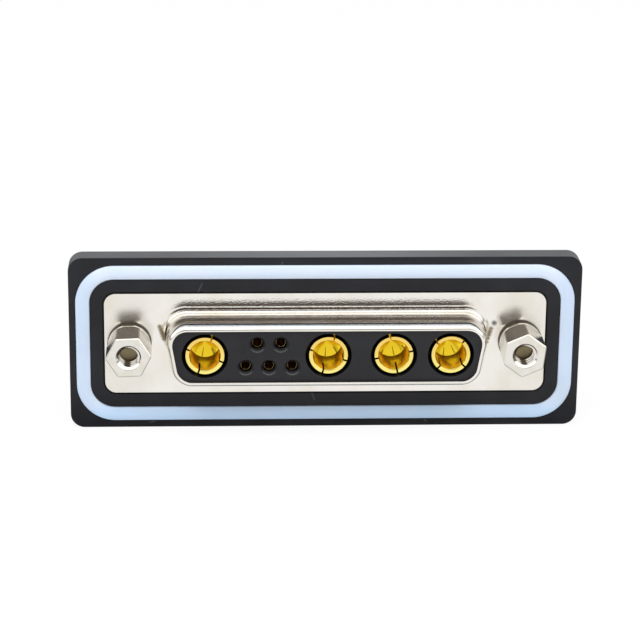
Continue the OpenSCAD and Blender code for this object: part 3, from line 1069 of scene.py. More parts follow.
    def join(self, other: "Bench") -> None:
        """Takes another piece's mesh into this one.

        Args:
            other: the other piece, which is used up.
        """
        other.take()
        self.object.select_set(True)
        bpy.context.view_layer.objects.active = self.object
        bpy.ops.object.join()

    def chamfer(self, width: float, angle: float = 35) -> None:
        """Chamfers the sharp edges.

        Args:
            width: the chamfer's width.
            angle: edges sharper than this are chamfered, in degrees.
        """
        modifier = self.object.modifiers.new("chamfer", "BEVEL")
        modifier.width = width
        modifier.segments = 1
        modifier.limit_method = "ANGLE"
        modifier.angle_limit = math.radians(angle)
        modifier.use_clamp_overlap = True
        modifier.harden_normals = False
        self.apply(modifier)

    def copy(self, name: str) -> "Bench":
        """Copies the piece with its mesh.

        Args:
            name: the copy's name.

        Returns:
            The copy.
        """
        self.take()
        bpy.ops.object.duplicate(linked=False)
        twin = Bench.__new__(Bench)
        twin.object = bpy.context.object
        twin.object.name = name
        twin.object.data.name = name
        twin.ring_count = self.ring_count
        return twin

    def smooth(self, angle: float) -> None:
        """Shades the piece smooth.

        Args:
            angle: up to which angle between faces, in degrees.
        """
        self.take()
        bpy.ops.object.shade_smooth_by_angle(angle=math.radians(angle))
        modifier = self.object.modifiers.new("even", "WEIGHTED_NORMAL")
        modifier.keep_sharp = True
        modifier.weight = NORMAL_WEIGHT
        self.apply(modifier)

    def hand_over(self, slot: Slot, material: bpy.types.Material, nodes: Sequence[str],
                  shading: Shading) -> None:
        """Finishes the piece: scales it to metres, dresses it and lets it stand for its solids.

        Args:
            slot: the record's material slot; not used.
            material: its material.
            nodes: the solids that it stands for.
            shading: how its faces are shaded.
        """
        self.smooth(shading.value)
        self.object.matrix_world = Matrix.Scale(MILLIMETRE, 4)
        self.settle()
        self.object.data.materials.clear()
        self.object.data.materials.append(material)
        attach(self.object, BODY)
        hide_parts(*nodes)
        LOG.info("%s: %d faces", self.object.name, len(self.object.data.polygons))


def arc(middle: Station, radius: float, begin: float, finish: float, steps: int,
        stretch: float = 1.0) -> list[Station]:
    """Lists the stations of an arc.

    Args:
        middle: its centre, as (offset, depth towards the front).
        radius: its radius.
        begin: its first angle, in degrees from outwards towards the front.
        finish: its last angle.
        steps: how many pieces it has.
        stretch: how many times as deep as wide it is.

    Returns:
        Its (offset, depth towards the rear) stations.
    """
    angles = [math.radians(begin + (finish - begin) * k / steps) for k in range(steps + 1)]
    return [(middle[0] + radius * math.cos(a), -(middle[1] + stretch * radius * math.sin(a))) for a in angles]


def around(outline: Outline, stations: Sequence[Station]) -> list[tuple[Outline, float]]:
    """Lists an outline's rings at (offset, depth) stations."""
    return [(outline.grown(offset), y) for offset, y in stations]


FRONT_D = Outline(37.8, 7.9, 2.6, 10)
REAR_D = Outline(39.2, 10.7, 3.2, 10)
FLANGE = Outline(53.04, 12.55, 1.4)


def drill_studs(piece: Bench, span: Point) -> None:
    """Drills both stud holes in a piece.

    Args:
        piece: the piece.
        span: where the holes begin and end.
    """
    for side in Side:
        drill = Bench("drill").rod(STUD_HOLE, *span)
        piece.shape_by(drill.shift(side.value * POST_X, 0, 0), Cut.TAKE_AWAY)


def dress_solid(node: str, material: bpy.types.Material) -> None:
    """Gives a solid that stays a better material.

    Args:
        node: the solid's name.
        material: its material.
    """
    solid = bpy.data.objects[node]
    solid.data.materials.clear()
    solid.data.materials.append(material)
    LOG.info("%s: solid kept", node)


@dataclass
class SealedFrame:
    """The moulded frame plate and the seal in its groove."""

    plate: Outline = Outline(61.45, 21.45, 1.7)
    thickness: float = 2.9
    edge: float = 0.15
    crease: float = 0.05
    hole_span: Point = (0.1, 3.4)
    groove_outer: Outline = Outline(59.85, 19.55, 4.65)
    groove_width: float = 1.7
    groove_depth: float = 1.3
    recess_gap: float = 0.15
    recess_depth: float = 0.8
    collar_gap: float = 0.4
    seal_half_width: float = 0.835
    seal_proud: float = 0.3
    seal_crown: float = 0.12
    seal_shoulder: float = 0.12
    scratches: tuple[Scratch, ...] = (
        ((-15.28, 6.43), (-14.79, 7.56)), ((-5.43, 9.57), (-5.2, 10.15)), ((-1.28, -7.3), (-1.6, -6.4)),
        ((12.4, -10.2), (12.1, -9.9)), ((-21.2, -10.1), (-20.6, -9.95)))

    def build_frame(self) -> Bench:
        """Makes the frame plate with its groove, recess and holes.

        Returns:
            The plate.
        """
        back, edge, crease = self.thickness, self.edge, self.crease
        slack = edge * (1 - math.sqrt(0.5))
        rings = around(self.plate, [
            (-edge, 0), (-slack, slack), (0, edge), (0, back - edge), (-slack, back - slack), (-edge, back)])
        collar = REAR_D.grown(self.collar_gap)
        rings += around(collar, [(crease, back), (0, back - crease), (0, self.recess_depth)])
        recess = FLANGE.grown(self.recess_gap)
        rings += around(recess, [(0, self.recess_depth), (0, crease), (crease, 0)])
        groove_inner = self.groove_outer.grown(-self.groove_width)
        rings += around(groove_inner, [(-crease, 0), (0, crease), (0, self.groove_depth)])
        rings += around(self.groove_outer, [(0, self.groove_depth), (0, crease), (crease, 0)])
        plate = Bench("frame_plate")
        plate.loft(rings, closed=True)
        drill_studs(plate, self.hole_span)
        return plate

    def build_seal(self) -> Bench:
        """Makes the seal, a low dome with eased shoulders.

        Returns:
            The seal.
        """
        side, crown, turn = self.seal_half_width, self.seal_crown, self.seal_shoulder
        half = side - turn
        radius = (half * half + crown * crown) / (2 * crown)
        spread = math.degrees(math.asin(half / radius))
        dome = arc((0, self.seal_proud - radius), radius, 90 + spread, 90 - spread, BEND_STEPS)
        low = crown - self.seal_proud + turn
        ease, lift = side - 0.3 * turn, low - 0.7 * turn
        stations = [(-side, self.groove_depth), (-side, low), (-ease, lift), *dome,
                    (ease, lift), (side, low), (side, self.groove_depth)]
        seal = Bench("seal")
        seal.loft(around(self.groove_outer.grown(-self.groove_width / 2), stations), closed=True)
        return seal

    def build(self) -> None:
        """Builds and dresses both."""
        black = MouldedPlastic("frame_black", scratches=self.scratches).make()
        self.build_frame().hand_over(Slot.FRAME, black, ["sealing_frame"], Shading.PLATE)
        self.build_seal().hand_over(Slot.SEAL, Silicone("seal_blue").make(), ["seal_ring"], Shading.BENT)


@dataclass
class Shells:
    """The two drawn sheets: the front one with its D and lip, the rear one with its collar."""

    sheet: float = 0.4
    height: float = 5.2
    lip_width: float = 0.77
    lip_bend: Point = (0.56, 1.7)
    wall_lean: float = 0.03
    wall: tuple[Station, ...] = ((-0.009, -3.2), (0.0, -2.4))
    root_bend: Point = (0.83, 0.49)
    front_hole: Point = (-0.3, 0.7)
    collar_bend: float = 0.35
    collar_depth: float = 7.0
    rear_hole: Point = (0.1, 1.1)
    root_steps: int = 10
    lip_steps: int = 6
    collar_steps: int = 8
    burr: float = 0.04
    grey: Colour = (0.06, 0.06, 0.045)

    def build_front(self) -> Bench:
        """Makes the front shell, from its lip to the flange and back inside.

        Returns:
            The shell.
        """
        sheet, burr = self.sheet, self.burr
        lip, reach = self.lip_bend
        wide, deep = self.root_bend
        lip_at = (-self.wall_lean - lip, self.height - reach)
        edge, front = -self.lip_width, -self.height
        rings = around(FRONT_D, [(edge, front + sheet), (edge, front + burr), (edge + burr, front)])
        rings += around(FRONT_D, arc(lip_at, lip, 90, 0, BEND_STEPS, reach / lip))
        rings += around(FRONT_D, self.wall)
        rings += around(FRONT_D, arc((wide, deep), wide, 180, 270, BEND_STEPS, deep / wide))
        rings += [(FLANGE.grown(-burr), 0), (FLANGE, burr), (FLANGE, sheet)]
        stretch = (deep + sheet) / (wide + sheet)
        rings += around(FRONT_D, arc((wide, deep), wide + sheet, 270, 180, self.root_steps, stretch))
        stretch = (reach - sheet) / (lip - sheet)
        rings += around(FRONT_D, arc(lip_at, lip - sheet, 0, 90, self.lip_steps, stretch))
        shell = Bench("front_shell_sheet")
        shell.loft(rings, closed=True)
        drill_studs(shell, self.front_hole)
        return shell

    def build_rear(self) -> Bench:
        """Makes the rear shell, from its collar to the flange and back.

        Returns:
            The shell.
        """
        sheet, burr, bend, back = self.sheet, self.burr, self.collar_bend, self.collar_depth
        root_at = (bend, -2 * sheet - bend)
        rings = around(REAR_D, [(-sheet, back)])
        rings += around(REAR_D, arc(root_at, bend + sheet, 180, 90, self.collar_steps))
        rings += [(FLANGE, sheet), (FLANGE, 2 * sheet)]
        rings += around(REAR_D, arc(root_at, bend, 90, 180, self.collar_steps))
        rings += around(REAR_D, [(0, back - burr), (-burr, back)])
        shell = Bench("rear_shell_sheet")
        shell.loft(rings, closed=True)
        drill_studs(shell, self.rear_hole)
        return shell

    def build(self) -> None:
        """Builds and dresses both."""
        # Dark olive marks along the D's root at both sides.
        dark_marks = (DarkMark(-19.9, 2.15, 0.4), DarkMark(-19.77, 1.8, 0.45), DarkMark(-19.62, 1.4, 0.5),
                  DarkMark(-19.46, 1.0, 0.55), DarkMark(-19.35, 0.6, 0.45), DarkMark(20.3, 2.4, 0.5, self.grey),
                  DarkMark(19.95, 1.7, 0.4), DarkMark(19.82, 1.3, 0.45), DarkMark(19.72, 0.9, 0.42),
                  DarkMark(19.62, 0.45, 0.35), DarkMark(19.52, 0.0, 0.3))
        front = NickelSheet("shell_plate", dark_marks=dark_marks).make()
        rear = NickelSheet("collar_plate").make()
        self.build_front().hand_over(Slot.SHELL, front, ["front_shell"], Shading.BENT)
        self.build_rear().hand_over(Slot.SHELL, rear, ["rear_shell"], Shading.BENT)


@dataclass
class Insulators:
    """The front insulator with its contact holes, and the sealing compound at the rear."""

    shell_gap: float = 0.45
    front_back: float = 0.4
    lip_relief: Point = (0.2, 0.8)
    dark: Colour = (0.006, 0.006, 0.0072)
    rim: float = 0.06
    cavity: float = 2.74
    cavity_back: float = -0.2
    guide: float = 2.37
    entry: float = 0.73
    entry_back: float = -3.88
    funnel: float = 0.98
    funnel_depth: float = 0.25
    signal_cavity: float = 0.926
    drill_back: float = 1.0
    compound_gap: float = 0.42
    compound_front: float = 5.4
    compound_back: float = 6.6
    compound_lift: float = 0.16
    meniscus: tuple[Point, ...] = ((0.0, 1.0), (-0.1, 0.45), (-0.3, 0.12), (-0.7, 0.0))
    power_hole: float = 2.32
    signal_hole: float = 0.87
    hole_span: Point = (5.0, 8.0)

    def power_drill(self) -> Bench:
        """Makes a stepped drill for a power cavity.

        Returns:
            The drill.
        """
        face, back = INSULATOR_FACE, self.drill_back
        before, mouth = face - OVERSHOOT, self.cavity + self.rim + OVERSHOOT
        return Bench("drill").turned([
            (0, before), (mouth, before), (self.cavity, face + self.rim),
            (self.cavity, self.cavity_back), (self.guide, self.cavity_back), (self.guide, back), (0, back)])

    def signal_drill(self) -> Bench:
        """Makes a stepped drill for a signal hole, with its funnel.

        Returns:
            The drill.
        """
        face, back = INSULATOR_FACE, self.drill_back
        return Bench("drill").turned([
            (0, face - OVERSHOOT), (self.funnel, face - OVERSHOOT), (self.funnel, face),
            (self.entry, face + self.funnel_depth), (self.entry, self.entry_back),
            (self.signal_cavity, self.entry_back), (self.signal_cavity, back), (0, back)], SMALL_STEPS)

    def build_front(self) -> Bench:
        """Makes the front insulator.

        Returns:
            The insulator.
        """
        inset, deep = self.lip_relief
        stations = [(0, self.front_back), (0, INSULATOR_FACE + deep), (-inset, INSULATOR_FACE)]
        block = Bench("insulator_block")
        block.loft(around(FRONT_D.grown(-self.shell_gap), stations), closed=False)
        for x in POWER_X:
            block.shape_by(self.power_drill().shift(x, 0, 0), Cut.TAKE_AWAY)
        for x, z in SIGNAL_AT:
            block.shape_by(self.signal_drill().shift(x, 0, z), Cut.TAKE_AWAY)
        return block

    def build_compound(self) -> Bench:
        """Makes the sealing compound, drawn up a little along the collar's wall.

        Returns:
            The compound.
        """
        back, lift = self.compound_back, self.compound_lift
        stations = [(0, self.compound_front)]
        stations += [(offset, back + share * lift) for offset, share in self.meniscus]
        compound = Bench("compound_fill")
        compound.loft(around(REAR_D.grown(-self.compound_gap), stations), closed=False)
        holes = [(self.power_hole, x, 0.0) for x in POWER_X]
        holes += [(self.signal_hole, x, z) for x, z in SIGNAL_AT]
        for radius, x, z in holes:
            drill = Bench("drill").rod(radius, *self.hole_span, steps=SMALL_STEPS)
            compound.shape_by(drill.shift(x, 0, z), Cut.TAKE_AWAY)
        return compound

    def build(self) -> None:
        """Builds and dresses both, and dresses the hidden mouldings."""
        # The insulator's plastic gets a painted highlight under each signal hole's funnel.
        plastic = MouldedPlastic("insulator_black", dark=self.dark, grain=0.1, speck_gap=3.4,
                                 lit_rim_holes=SIGNAL_AT, rim=(self.entry, self.funnel)).make()
        resin = CastResin("compound_black").make()
        self.build_front().hand_over(Slot.INSULATOR, plastic, ["front_insulator"], Shading.BLOCK)
        self.build_compound().hand_over(Slot.POTTING, resin, ["potting"], Shading.BENT)
        for node in ("insulator_shoulder", "rear_insulator"):
            dress_solid(node, plastic)


@dataclass
class Contact:
    """A turned socket contact: slit front, collar and solder cup."""

    front: float
    outer: float
    bore: float
    bore_depth: float
    mouth: float
    collar: float
    collar_back: float
    neck: float
    neck_back: float
    cup: float
    cup_bore: float
    cup_depth: float
    tail: float
    scoop: float
    scoop_rise: float
    slits: int
    slit_width: float
    slit_length: float
    burr: float
    nose: float = 0.0
    drill_angle: float = 118

    def drill_point(self, radius: float, end: float, way: int) -> list[Station]:
        """Lists the stations of a drilled hole's end, from the axis outwards.

        Args:
            radius: the hole's radius.
            end: the depth at which its wall ends.
            way: 1 if it was drilled towards the rear, -1 if towards the front.

        Returns:
            The (radius, depth) stations; the one near the axis keeps its shading even.
        """
        tip = radius / math.tan(math.radians(self.drill_angle) / 2)
        return [(0, end + way * tip), (0.05 * radius, end + way * 0.95 * tip), (radius, end)]

    def build_body(self) -> Bench:
        """Makes the contact on the axis, before its slits are sawn.

        Returns:
            The contact.
        """
        front, mouth, burr, tail = self.front, self.mouth, self.burr, self.tail
        edge = self.outer - self.nose
        profile = self.drill_point(self.bore, front + self.bore_depth, 1)
        profile += [
            (self.bore, front + mouth), (self.bore + 0.35 * mouth, front + 0.35 * mouth),
            (self.bore + mouth, front), (edge - burr, front), (edge - 0.3 * burr, front + 0.3 * burr),
            (edge, front + burr), (self.outer, front + burr + 2.5 * self.nose), (self.outer, SHOULDER_BACK),
            (self.collar, SHOULDER_BACK), (self.collar, self.collar_back), (self.neck, self.collar_back),
            (self.neck, self.neck_back), (self.cup, self.neck_back), (self.cup, tail - burr),
            (self.cup - burr, tail), (self.cup_bore + burr, tail), (self.cup_bore, tail - burr)]
        profile += reversed(self.drill_point(self.cup_bore, tail - self.cup_depth, -1))
        body = Bench("contact").turned(profile)
        self.scoop_cup(body)
        return body

    def scoop_cup(self, body: Bench) -> None:
        """Cuts the solder cup's upper half away, with a round end.

        Args:
            body: the contact, on the axis.
        """
        wide, rise, radius = 2 * self.cup, self.scoop_rise, self.cup
        bend = self.tail - self.scoop + radius
        saw = Bench("saw").box((-wide, bend, rise), (wide, self.tail + SAW_ROOM, rise + wide))
        body.shape_by(saw, Cut.TAKE_AWAY)
        round_saw = Bench("saw").rod(radius, -wide, wide, steps=TURN_STEPS).turn(90, "Z")
        body.shape_by(round_saw.shift(0, bend, rise + radius), Cut.TAKE_AWAY)

    def saw_slits(self, body: Bench, turn: float) -> None:
        """Saws the slits between the tines.

        Args:
            body: the contact, on the axis.
            turn: the slits' turn, in degrees.
        """
        half, reach = self.slit_width / 2, self.outer + 2 * OVERSHOOT
        begin, end = self.front - SAW_ROOM, self.front + self.slit_length
        for number in range(self.slits // 2):
            saw = Bench("saw").box((-reach, begin, -half), (reach, end, half))
            body.shape_by(saw.swivel(turn + number * 360 / self.slits), Cut.TAKE_AWAY)


POWER = Contact(
    front=-4.58, outer=2.32, bore=1.825, bore_depth=4.8, mouth=0.12, collar=2.65, collar_back=2.8, neck=2.15,
    neck_back=3.9, cup=2.3, cup_bore=1.75, cup_depth=6, tail=13.6, scoop=2.6, scoop_rise=0.45,
    slits=4, slit_width=0.22, slit_length=2.6, burr=0.08)
SIGNAL = Contact(
    front=-3.83, outer=0.875, bore=0.53, bore_depth=5, mouth=0.025, collar=1.125, collar_back=2.7, neck=0.85,
    neck_back=2.9, cup=0.85, cup_bore=0.6, cup_depth=3, tail=10.2, scoop=1.3, scoop_rise=0.15,
    slits=2, slit_width=0.2, slit_length=3, burr=0.02, nose=0.29)


@dataclass
class Contacts:
    """The four power contacts and five signal contacts, and the hidden clips."""

    power_turns: tuple[float, ...] = (69, 72, 12, 48)
    power_bore: Station = (-4.5, 0.2)
    signal_turn: float = 45
    # Painted shade: the signal contacts' gold is darker, as they sit deep in their holes.
    shade_tone: Colour = (0.72, 0.5, 0.17)
    shade_tone_deep: Colour = (0.6, 0.4, 0.13)

    def build_power(self) -> None:
        """Builds and dresses the power contacts."""
        gold = GoldPlate("contact_gold_plate", bore=self.power_bore, bore_radius=POWER.bore,
                         axes_at=POWER_X).make()
        blank = POWER.build_body()
        for number, (x, turn) in enumerate(zip(POWER_X, self.power_turns), 1):
            contact = blank.copy("power_socket_%d" % number)
            POWER.saw_slits(contact, turn)
            contact.shift(x, 0, 0)
            contact.hand_over(Slot.CONTACT, gold, ["power_contact_%d" % number], Shading.TURNED)
        blank.scrap()

    def build_signal(self) -> None:
        """Builds and dresses the signal contacts."""
        # Painted shade: darker, rougher gold for the signal contacts.
        gold = GoldPlate("signal_gold_shaded", self.shade_tone, self.shade_tone_deep, roughness=0.3).make()
        blank = SIGNAL.build_body()
        SIGNAL.saw_slits(blank, self.signal_turn)
        for number, (x, z) in enumerate(SIGNAL_AT, 1):
            contact = blank.copy("signal_socket_%d" % number).shift(x, 0, z)
            contact.hand_over(Slot.CONTACT, gold, ["signal_contact_%d" % number], Shading.TURNED)
        blank.scrap()

    def build(self) -> None:
        """Builds and dresses the contacts, and dresses the clips."""
        self.build_power()
        self.build_signal()
        bronze = SpringBronze("clip_bronze_strip").make()
        for number in range(1, len(POWER_X) + 1):
            dress_solid("retention_clip_%d" % number, bronze)


@dataclass
class PostHardware:
    """The two jack posts with their washers and nuts."""

    flats: float = 4.76
    front: float = -5.2
    edge: float = 0.11
    square_end: Point = (-0.05, 0.05)
    turned_end: Point = (0.34, 0.85)
    hole: float = 1.13
    hole_depth: float = 2.4
    hole_tip: float = 0.12
    tip_ring: Station = (0.05, 0.95)
    hole_major: float = 1.36
    tap_slack: float = 0.02
    sink: float = 1.52
    sink_edge: float = 0.04
    pitch: float = 0.635
    neck: Point = (-1.2, 0.9)
    stud: float = 1.4
    stud_root: float = 1.12
    stud_front: float = 0.8
    stud_back: float = 6.4
    stud_point: float = 0.38
    washer: float = 0.6
    washer_radius: float = 2.65
    washer_edge: float = 0.07
    washer_split: float = 0.35
    split_turn: float = -12
    nut_flats: float = 6.35
    nut_ends: Point = (2.9, 5.3)
    nut_bevel: Point = (0.43, 0.25)
    nut_sink: float = 0.2
    nut_turn: float = 30
    turns: tuple[tuple[Side, float], ...] = ((Side.LEFT, 2.5), (Side.RIGHT, 23.5))

    def bevelled_hexagon(self, name: str, flats: float, ends: Point, front: Point, rear: Point) -> Bench:
        """Makes a hexagon whose corners are turned off at both ends.

        Args:
            name: the piece's name.
            flats: width across the flats.
            ends: where it begins and ends.
            front: inset and depth of the bevel at its front.
            rear: inset and depth of the bevel at its rear.

        Returns:
            The hexagon.
        """
        corner, over = flats / math.sqrt(3), 0.5 * OVERSHOOT
        low, high = ends
        bar = Bench(name).hexagon(flats, low, high)
        bar.chamfer(self.edge)
        before = corner - front[0] * (1 + over / front[1])
        behind = corner - rear[0] * (1 + over / rear[1])
        envelope = Bench("envelope").turned([
            (0, low - over), (before, low - over), (corner, low + front[1]),
            (corner, high - rear[1]), (behind, high + over), (0, high + over)], ENVELOPE_STEPS)
        bar.shape_by(envelope, Cut.KEEP_SHARED)
        return bar

    def bore_post(self, post: Bench) -> None:
        """Drills, sinks and taps a post's hole.

        Args:
            post: the post, on the axis.
        """
        front, hole, sink, edge = self.front, self.hole, self.sink, self.sink_edge
        before, end = front - OVERSHOOT, front + self.hole_depth
        ring, share = self.tip_ring
        drill = Bench("drill").turned([
            (0, before), (sink + edge, before), (sink + edge, front), (sink, front + 0.4 * edge),
            (sink - edge, front + 1.4 * edge), (hole, front + sink - hole + 0.4 * edge), (hole, end),
            (ring, end + share * self.hole_tip), (0, end + self.hole_tip)])
        post.shape_by(drill, Cut.TAKE_AWAY)
        core = hole - self.tap_slack
        tap = Bench("tap").threaded(self.hole_major, core, self.pitch, before, end - OVERSHOOT)
        post.shape_by(tap, Cut.TAKE_AWAY)

    def add_stud(self, post: Bench) -> None:
        """Adds a post's neck and its threaded, pointed stud.

        Args:
            post: the post, on the axis.
        """
        crest, root, back = self.stud + OVERSHOOT, self.stud_root - OVERSHOOT, self.stud_back
        over = 0.2 * OVERSHOOT
        post.join(Bench("neck").rod(self.stud, *self.neck))
        thread = Bench("thread").threaded(self.stud, self.stud_root, self.pitch, self.stud_front, back)
        point = Bench("point").turned([
            (0, 0), (crest, 0), (crest, back - self.stud_point),
            (root, back + over), (0, back + over)], ROD_STEPS)
        thread.shape_by(point, Cut.KEEP_SHARED)
        post.join(thread)

    def build_post(self, name: str, turn: float) -> Bench:
        """Makes a jack post on the axis.

        Args:
            name: the piece's name.
            turn: its hexagon's turn, in degrees.

        Returns:
            The post.
        """
        ends = (self.front, -self.washer)
        post = self.bevelled_hexagon(name, self.flats, ends, self.square_end, self.turned_end)
        post.swivel(turn)
        self.bore_post(post)
        self.add_stud(post)
        return post

    def build_washer(self, name: str) -> Bench:
        """Makes a split lock washer on the axis.

        Args:
            name: the piece's name.

        Returns:
            The washer.
        """
        inner, outer, thick, edge = STUD_HOLE, self.washer_radius, self.washer, self.washer_edge
        ease = 0.3 * edge
        washer = Bench(name).turned([
            (inner, -edge), (inner, edge - thick), (inner + edge, -thick), (outer - edge, -thick),
            (outer - ease, ease - thick), (outer, edge - thick), (outer, -edge), (outer - ease, -ease),
            (outer - edge, 0), (inner + edge, 0), (inner, -edge)])
        half = self.washer_split / 2
        saw = Bench("saw").box((-half, -thick - SAW_ROOM, -outer - SAW_ROOM), (half, SAW_ROOM, 0))
        washer.shape_by(saw.swivel(self.split_turn), Cut.TAKE_AWAY)
        return washer

    def build_nut(self, name: str) -> Bench:
        """Makes a nut on the axis.

        Args:
            name: the piece's name.

        Returns:
            The nut.
        """
        nut = self.bevelled_hexagon(name, self.nut_flats, self.nut_ends, self.nut_bevel, self.nut_bevel)
        nut.swivel(self.nut_turn)
        low, high = self.nut_ends
        before, behind = low - OVERSHOOT, high + OVERSHOOT
        mouth = STUD_HOLE + self.nut_sink + OVERSHOOT
        drill = Bench("drill").turned([
            (0, before), (mouth, before), (STUD_HOLE, low + self.nut_sink),
            (STUD_HOLE, high - self.nut_sink), (mouth, behind), (0, behind)], ROD_STEPS)
        nut.shape_by(drill, Cut.TAKE_AWAY)
        return nut

    def build(self) -> None:
        """Builds and dresses them at both ends."""
        nickel = TurnedNickel("hardware_plate", self.hole, self.front + self.hole_depth).make()
        spring = ShadedRimWasher("washer_plate", self.washer_radius).make()
        for side, turn in self.turns:
            word = side.name.lower()
            place = side.value * POST_X
            post = self.build_post("hex_post_" + word, turn).shift(place, 0, 0)
            post.hand_over(Slot.HARDWARE, nickel, ["jack_post_" + word], Shading.HEXAGON)
            washer = self.build_washer("split_washer_" + word).shift(place, 0, 0)
            washer.hand_over(Slot.HARDWARE, spring, ["lock_washer_" + word], Shading.BENT)
            nut = self.build_nut("hex_nut_" + word).shift(place, 0, 0)
            nut.hand_over(Slot.HARDWARE, nickel, ["post_nut_" + word], Shading.HEXAGON)


@dataclass(frozen=True)
class DarkPatch:
    """A dark place above or round the camera, as metal mirrors it; angles in degrees."""

    elevation: float
    half_width: float
    half_height: float
    light: float


@dataclass
class Studio:
    """The pale floor, the soft light, the white surround and the camera."""

    floor_level: float = -10.725
    floor_half: float = 1.5
    paper_dark: Colour = (0.86, 0.86, 0.86)
    paper_light: Colour = (0.9, 0.9, 0.9)
    paper_white: float = 0.9
    paper_shade: float = 0.65
    fibre: float = 0.8
    near_floor: Point = (-9.0, -3.0)
    camera_at: Place = (-14.511, -282.851, 98.463)
    azimuth: float = -2.7966
    elevation: float = 18.6512
    roll: float = 0.6273
    lens: float = 140.199
    sensor: float = 36
    clip_start: float = 0.01
    patches: tuple[DarkPatch, ...] = (
        DarkPatch(13.5, 21.0, 14.5, 0.06), DarkPatch(42.0, 21.0, 7.0, 0.05))
    patch_tint: Colour = (1.0, 0.78, 0.62)
    patch_fade: Point = (1.25, 0.75)
    ahead_fade: Point = (0.0, 0.1)
    sky_fade: Point = (-0.2, 0.9)
    side_fade: Point = (0.6, 0.85)
    side_top: Point = (0.3, 0.1)
    side_foot: Point = (-0.45, -0.3)
    top_fade: Point = (0.72, 0.92)
    corner_fade: Point = (1.05, 1.25)
    white: Colour = (1.0, 1.0, 1.0)
    side_light: float = 0.35
    top_light: float = 1.6
    surround: float = 0.4
    overhead: float = 0.75
    lamp_power: float = 5.0
    lamp_size: Point = (0.7, 0.45)
    lamp_at: Place = (-0.05, -0.38, 0.62)

    def front_direction(self, elevation: float) -> Vector:
        """Returns the direction from the socket towards the camera's side, at an elevation in degrees."""
        turn, rise = math.radians(self.azimuth), math.radians(elevation)
        return Vector((math.sin(turn) * math.cos(rise), -math.cos(turn) * math.cos(rise), math.sin(rise)))

    def right_direction(self) -> Vector:
        """Returns the direction to the right, seen from the camera, before its roll."""
        turn = math.radians(self.azimuth)
        return Vector((math.cos(turn), math.sin(turn), 0))

    def build_camera(self) -> None:
        """Places the camera as the photograph was taken."""
        back, right = self.front_direction(self.elevation), self.right_direction()
        up = right.cross(-back)
        roll = math.radians(self.roll)
        across = math.cos(roll) * right + math.sin(roll) * up
        rise = math.cos(roll) * up - math.sin(roll) * right
        lens = bpy.data.cameras.new("camera")
        lens.sensor_width = self.sensor
        lens.lens = self.lens
        lens.clip_start = self.clip_start
        camera = bpy.data.objects.new("camera", lens)
        bpy.context.scene.collection.objects.link(camera)
        turn = Matrix((across, rise, back)).transposed().to_4x4()
        camera.matrix_world = Matrix.Translation(Vector(self.camera_at) * MILLIMETRE) @ turn
        bpy.context.scene.camera = camera

    def kept_light(self, shader: Shader, way: bpy.types.NodeSocket) -> Number:
        """Works out the share of the surround's light that the dark patches leave.

        Args:
            shader: the surround's shader.
            way: the direction looked in.

        Returns:
            The share, 1 outside the patches.
        """
        right = self.right_direction()
        kept: Number = 1.0
        for patch in self.patches:
            middle = self.front_direction(patch.elevation)
            across = shader.along(way, right) * (1 / math.sin(math.radians(patch.half_width)))
            rise = shader.along(way, right.cross(-middle)) * (1 / math.sin(math.radians(patch.half_height)))
            ahead = shader.along(way, middle).rise(*self.ahead_fade)
            mask = across.diagonal(rise).rise(*self.patch_fade) * ahead
            kept = kept * (1.0 - mask * (1.0 - patch.light))
        return kept

    def build_world(self) -> None:
        """Makes the white surround; metal also mirrors its dark patches, its dim sides and its bright top."""
        world = bpy.data.worlds.new("surround")
        bpy.context.scene.world = world
        world.use_nodes = True
        shader = Shader(world.node_tree)
        way = shader.coordinates("Generated")
        height = Value(shader, shader.node("ShaderNodeSeparateXYZ", {}, {0: way}).outputs[2])
        light = self.surround + (self.overhead - self.surround) * height.rise(*self.sky_fade)
        aside = shader.along(way, self.right_direction()).size()
        beside = aside.rise(*self.side_fade) * height.rise(*self.side_top) * height.rise(*self.side_foot)
        above = height.rise(*self.top_fade).at_least((aside + height).rise(*self.corner_fade))
        seen = 1.0 + (self.top_light - 1.0) * above - beside * (1.0 - self.side_light)
        kept = self.kept_light(shader, way)
        path = shader.node("ShaderNodeLightPath", {}, {}).outputs
        camera_ray = Value(shader, path["Is Camera Ray"])
        mirror_ray = Value(shader, path["Is Glossy Ray"]).at_least(Value(shader, path["Is Transmission Ray"]))
        level = camera_ray + (1.0 - camera_ray) * (mirror_ray * seen * kept + (1.0 - mirror_ray) * light)
        colour = shader.blend(mirror_ray * (1.0 - kept), self.white, self.patch_tint)
        sky = shader.node("ShaderNodeBackground", {}, {"Color": colour, "Strength": level})
        shader.node("ShaderNodeOutputWorld", {}, {"Surface": sky.outputs[0]})

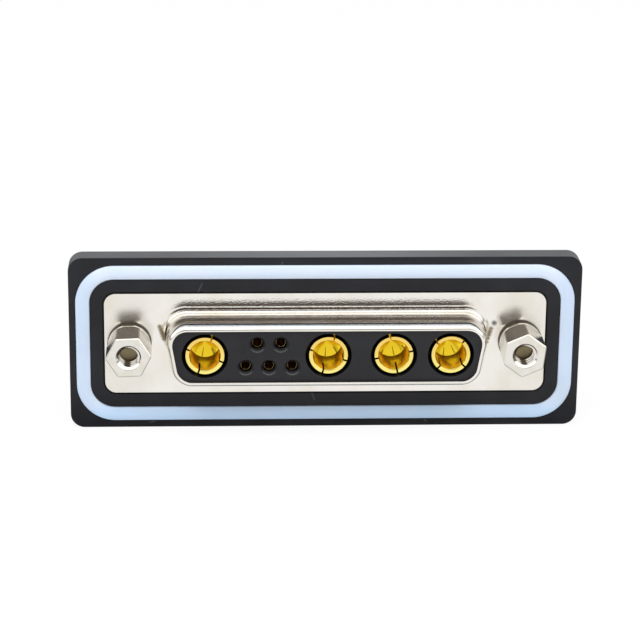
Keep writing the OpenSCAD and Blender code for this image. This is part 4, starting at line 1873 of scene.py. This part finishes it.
    def build_lamp(self) -> None:
        """Hangs one large soft lamp above and in front."""
        lamp = bpy.data.lights.new("soft_lamp", "AREA")
        lamp.shape = "RECTANGLE"
        lamp.size, lamp.size_y = self.lamp_size
        lamp.energy = self.lamp_power
        holder = bpy.data.objects.new("soft_lamp", lamp)
        bpy.context.scene.collection.objects.link(holder)
        place = Vector(self.lamp_at)
        holder.matrix_world = Matrix.Translation(place) @ place.to_track_quat("Z", "Y").to_matrix().to_4x4()
        holder.visible_camera = False
        holder.visible_glossy = False

    def build_floor(self) -> None:
        """Lays the pale floor under the frame's lower edge; as metal mirrors it, its glow has a painted
        shadow near the frame.
        """
        floor = Bench("floor")
        floor.begin()
        bpy.ops.mesh.primitive_plane_add(size=2 * self.floor_half, location=(0, 0, 0))
        floor.end()
        floor.shift(0, 0, self.floor_level * MILLIMETRE)
        material, shader = new_material("floor_paper")
        colour = shader.blend(shader.noise(self.fibre), self.paper_dark, self.paper_light)
        paper = shader.node("ShaderNodeBsdfDiffuse", {}, {"Color": colour}).outputs[0]
        path = shader.node("ShaderNodeLightPath", {}, {}).outputs
        mirrored = Value(shader, path["Is Glossy Ray"])
        # Painted shadow: the glow seen in mirrors dims near the frame.
        near = shader.axes()[1].rise(*self.near_floor)
        strength = 1.0 - self.paper_shade * mirrored * near
        glow = shader.node("ShaderNodeEmission", {}, {"Strength": strength}).outputs[0]
        seen = Value(shader, path["Is Camera Ray"]).at_least(mirrored)
        seen = seen.at_least(Value(shader, path["Is Transmission Ray"])) * self.paper_white
        mixed = shader.node("ShaderNodeMixShader", {}, {0: seen, 1: paper, 2: glow})
        shader.node("ShaderNodeOutputMaterial", {}, {"Surface": mixed.outputs[0]})
        floor.object.data.materials.append(material)

    def build(self) -> None:
        """Builds the studio."""
        self.build_floor()
        self.build_lamp()
        self.build_world()
        self.build_camera()
        bpy.context.scene.view_settings.view_transform = "Standard"


def main() -> None:
    """Builds the socket piece by piece, then the studio."""
    logging.basicConfig(level=logging.INFO, format="%(message)s")
    for assembly in (SealedFrame(), Shells(), Insulators(), Contacts(), PostHardware(), Studio()):
        LOG.info("building %s", type(assembly).__name__)
        assembly.build()


if __name__ == "__main__":
    main()
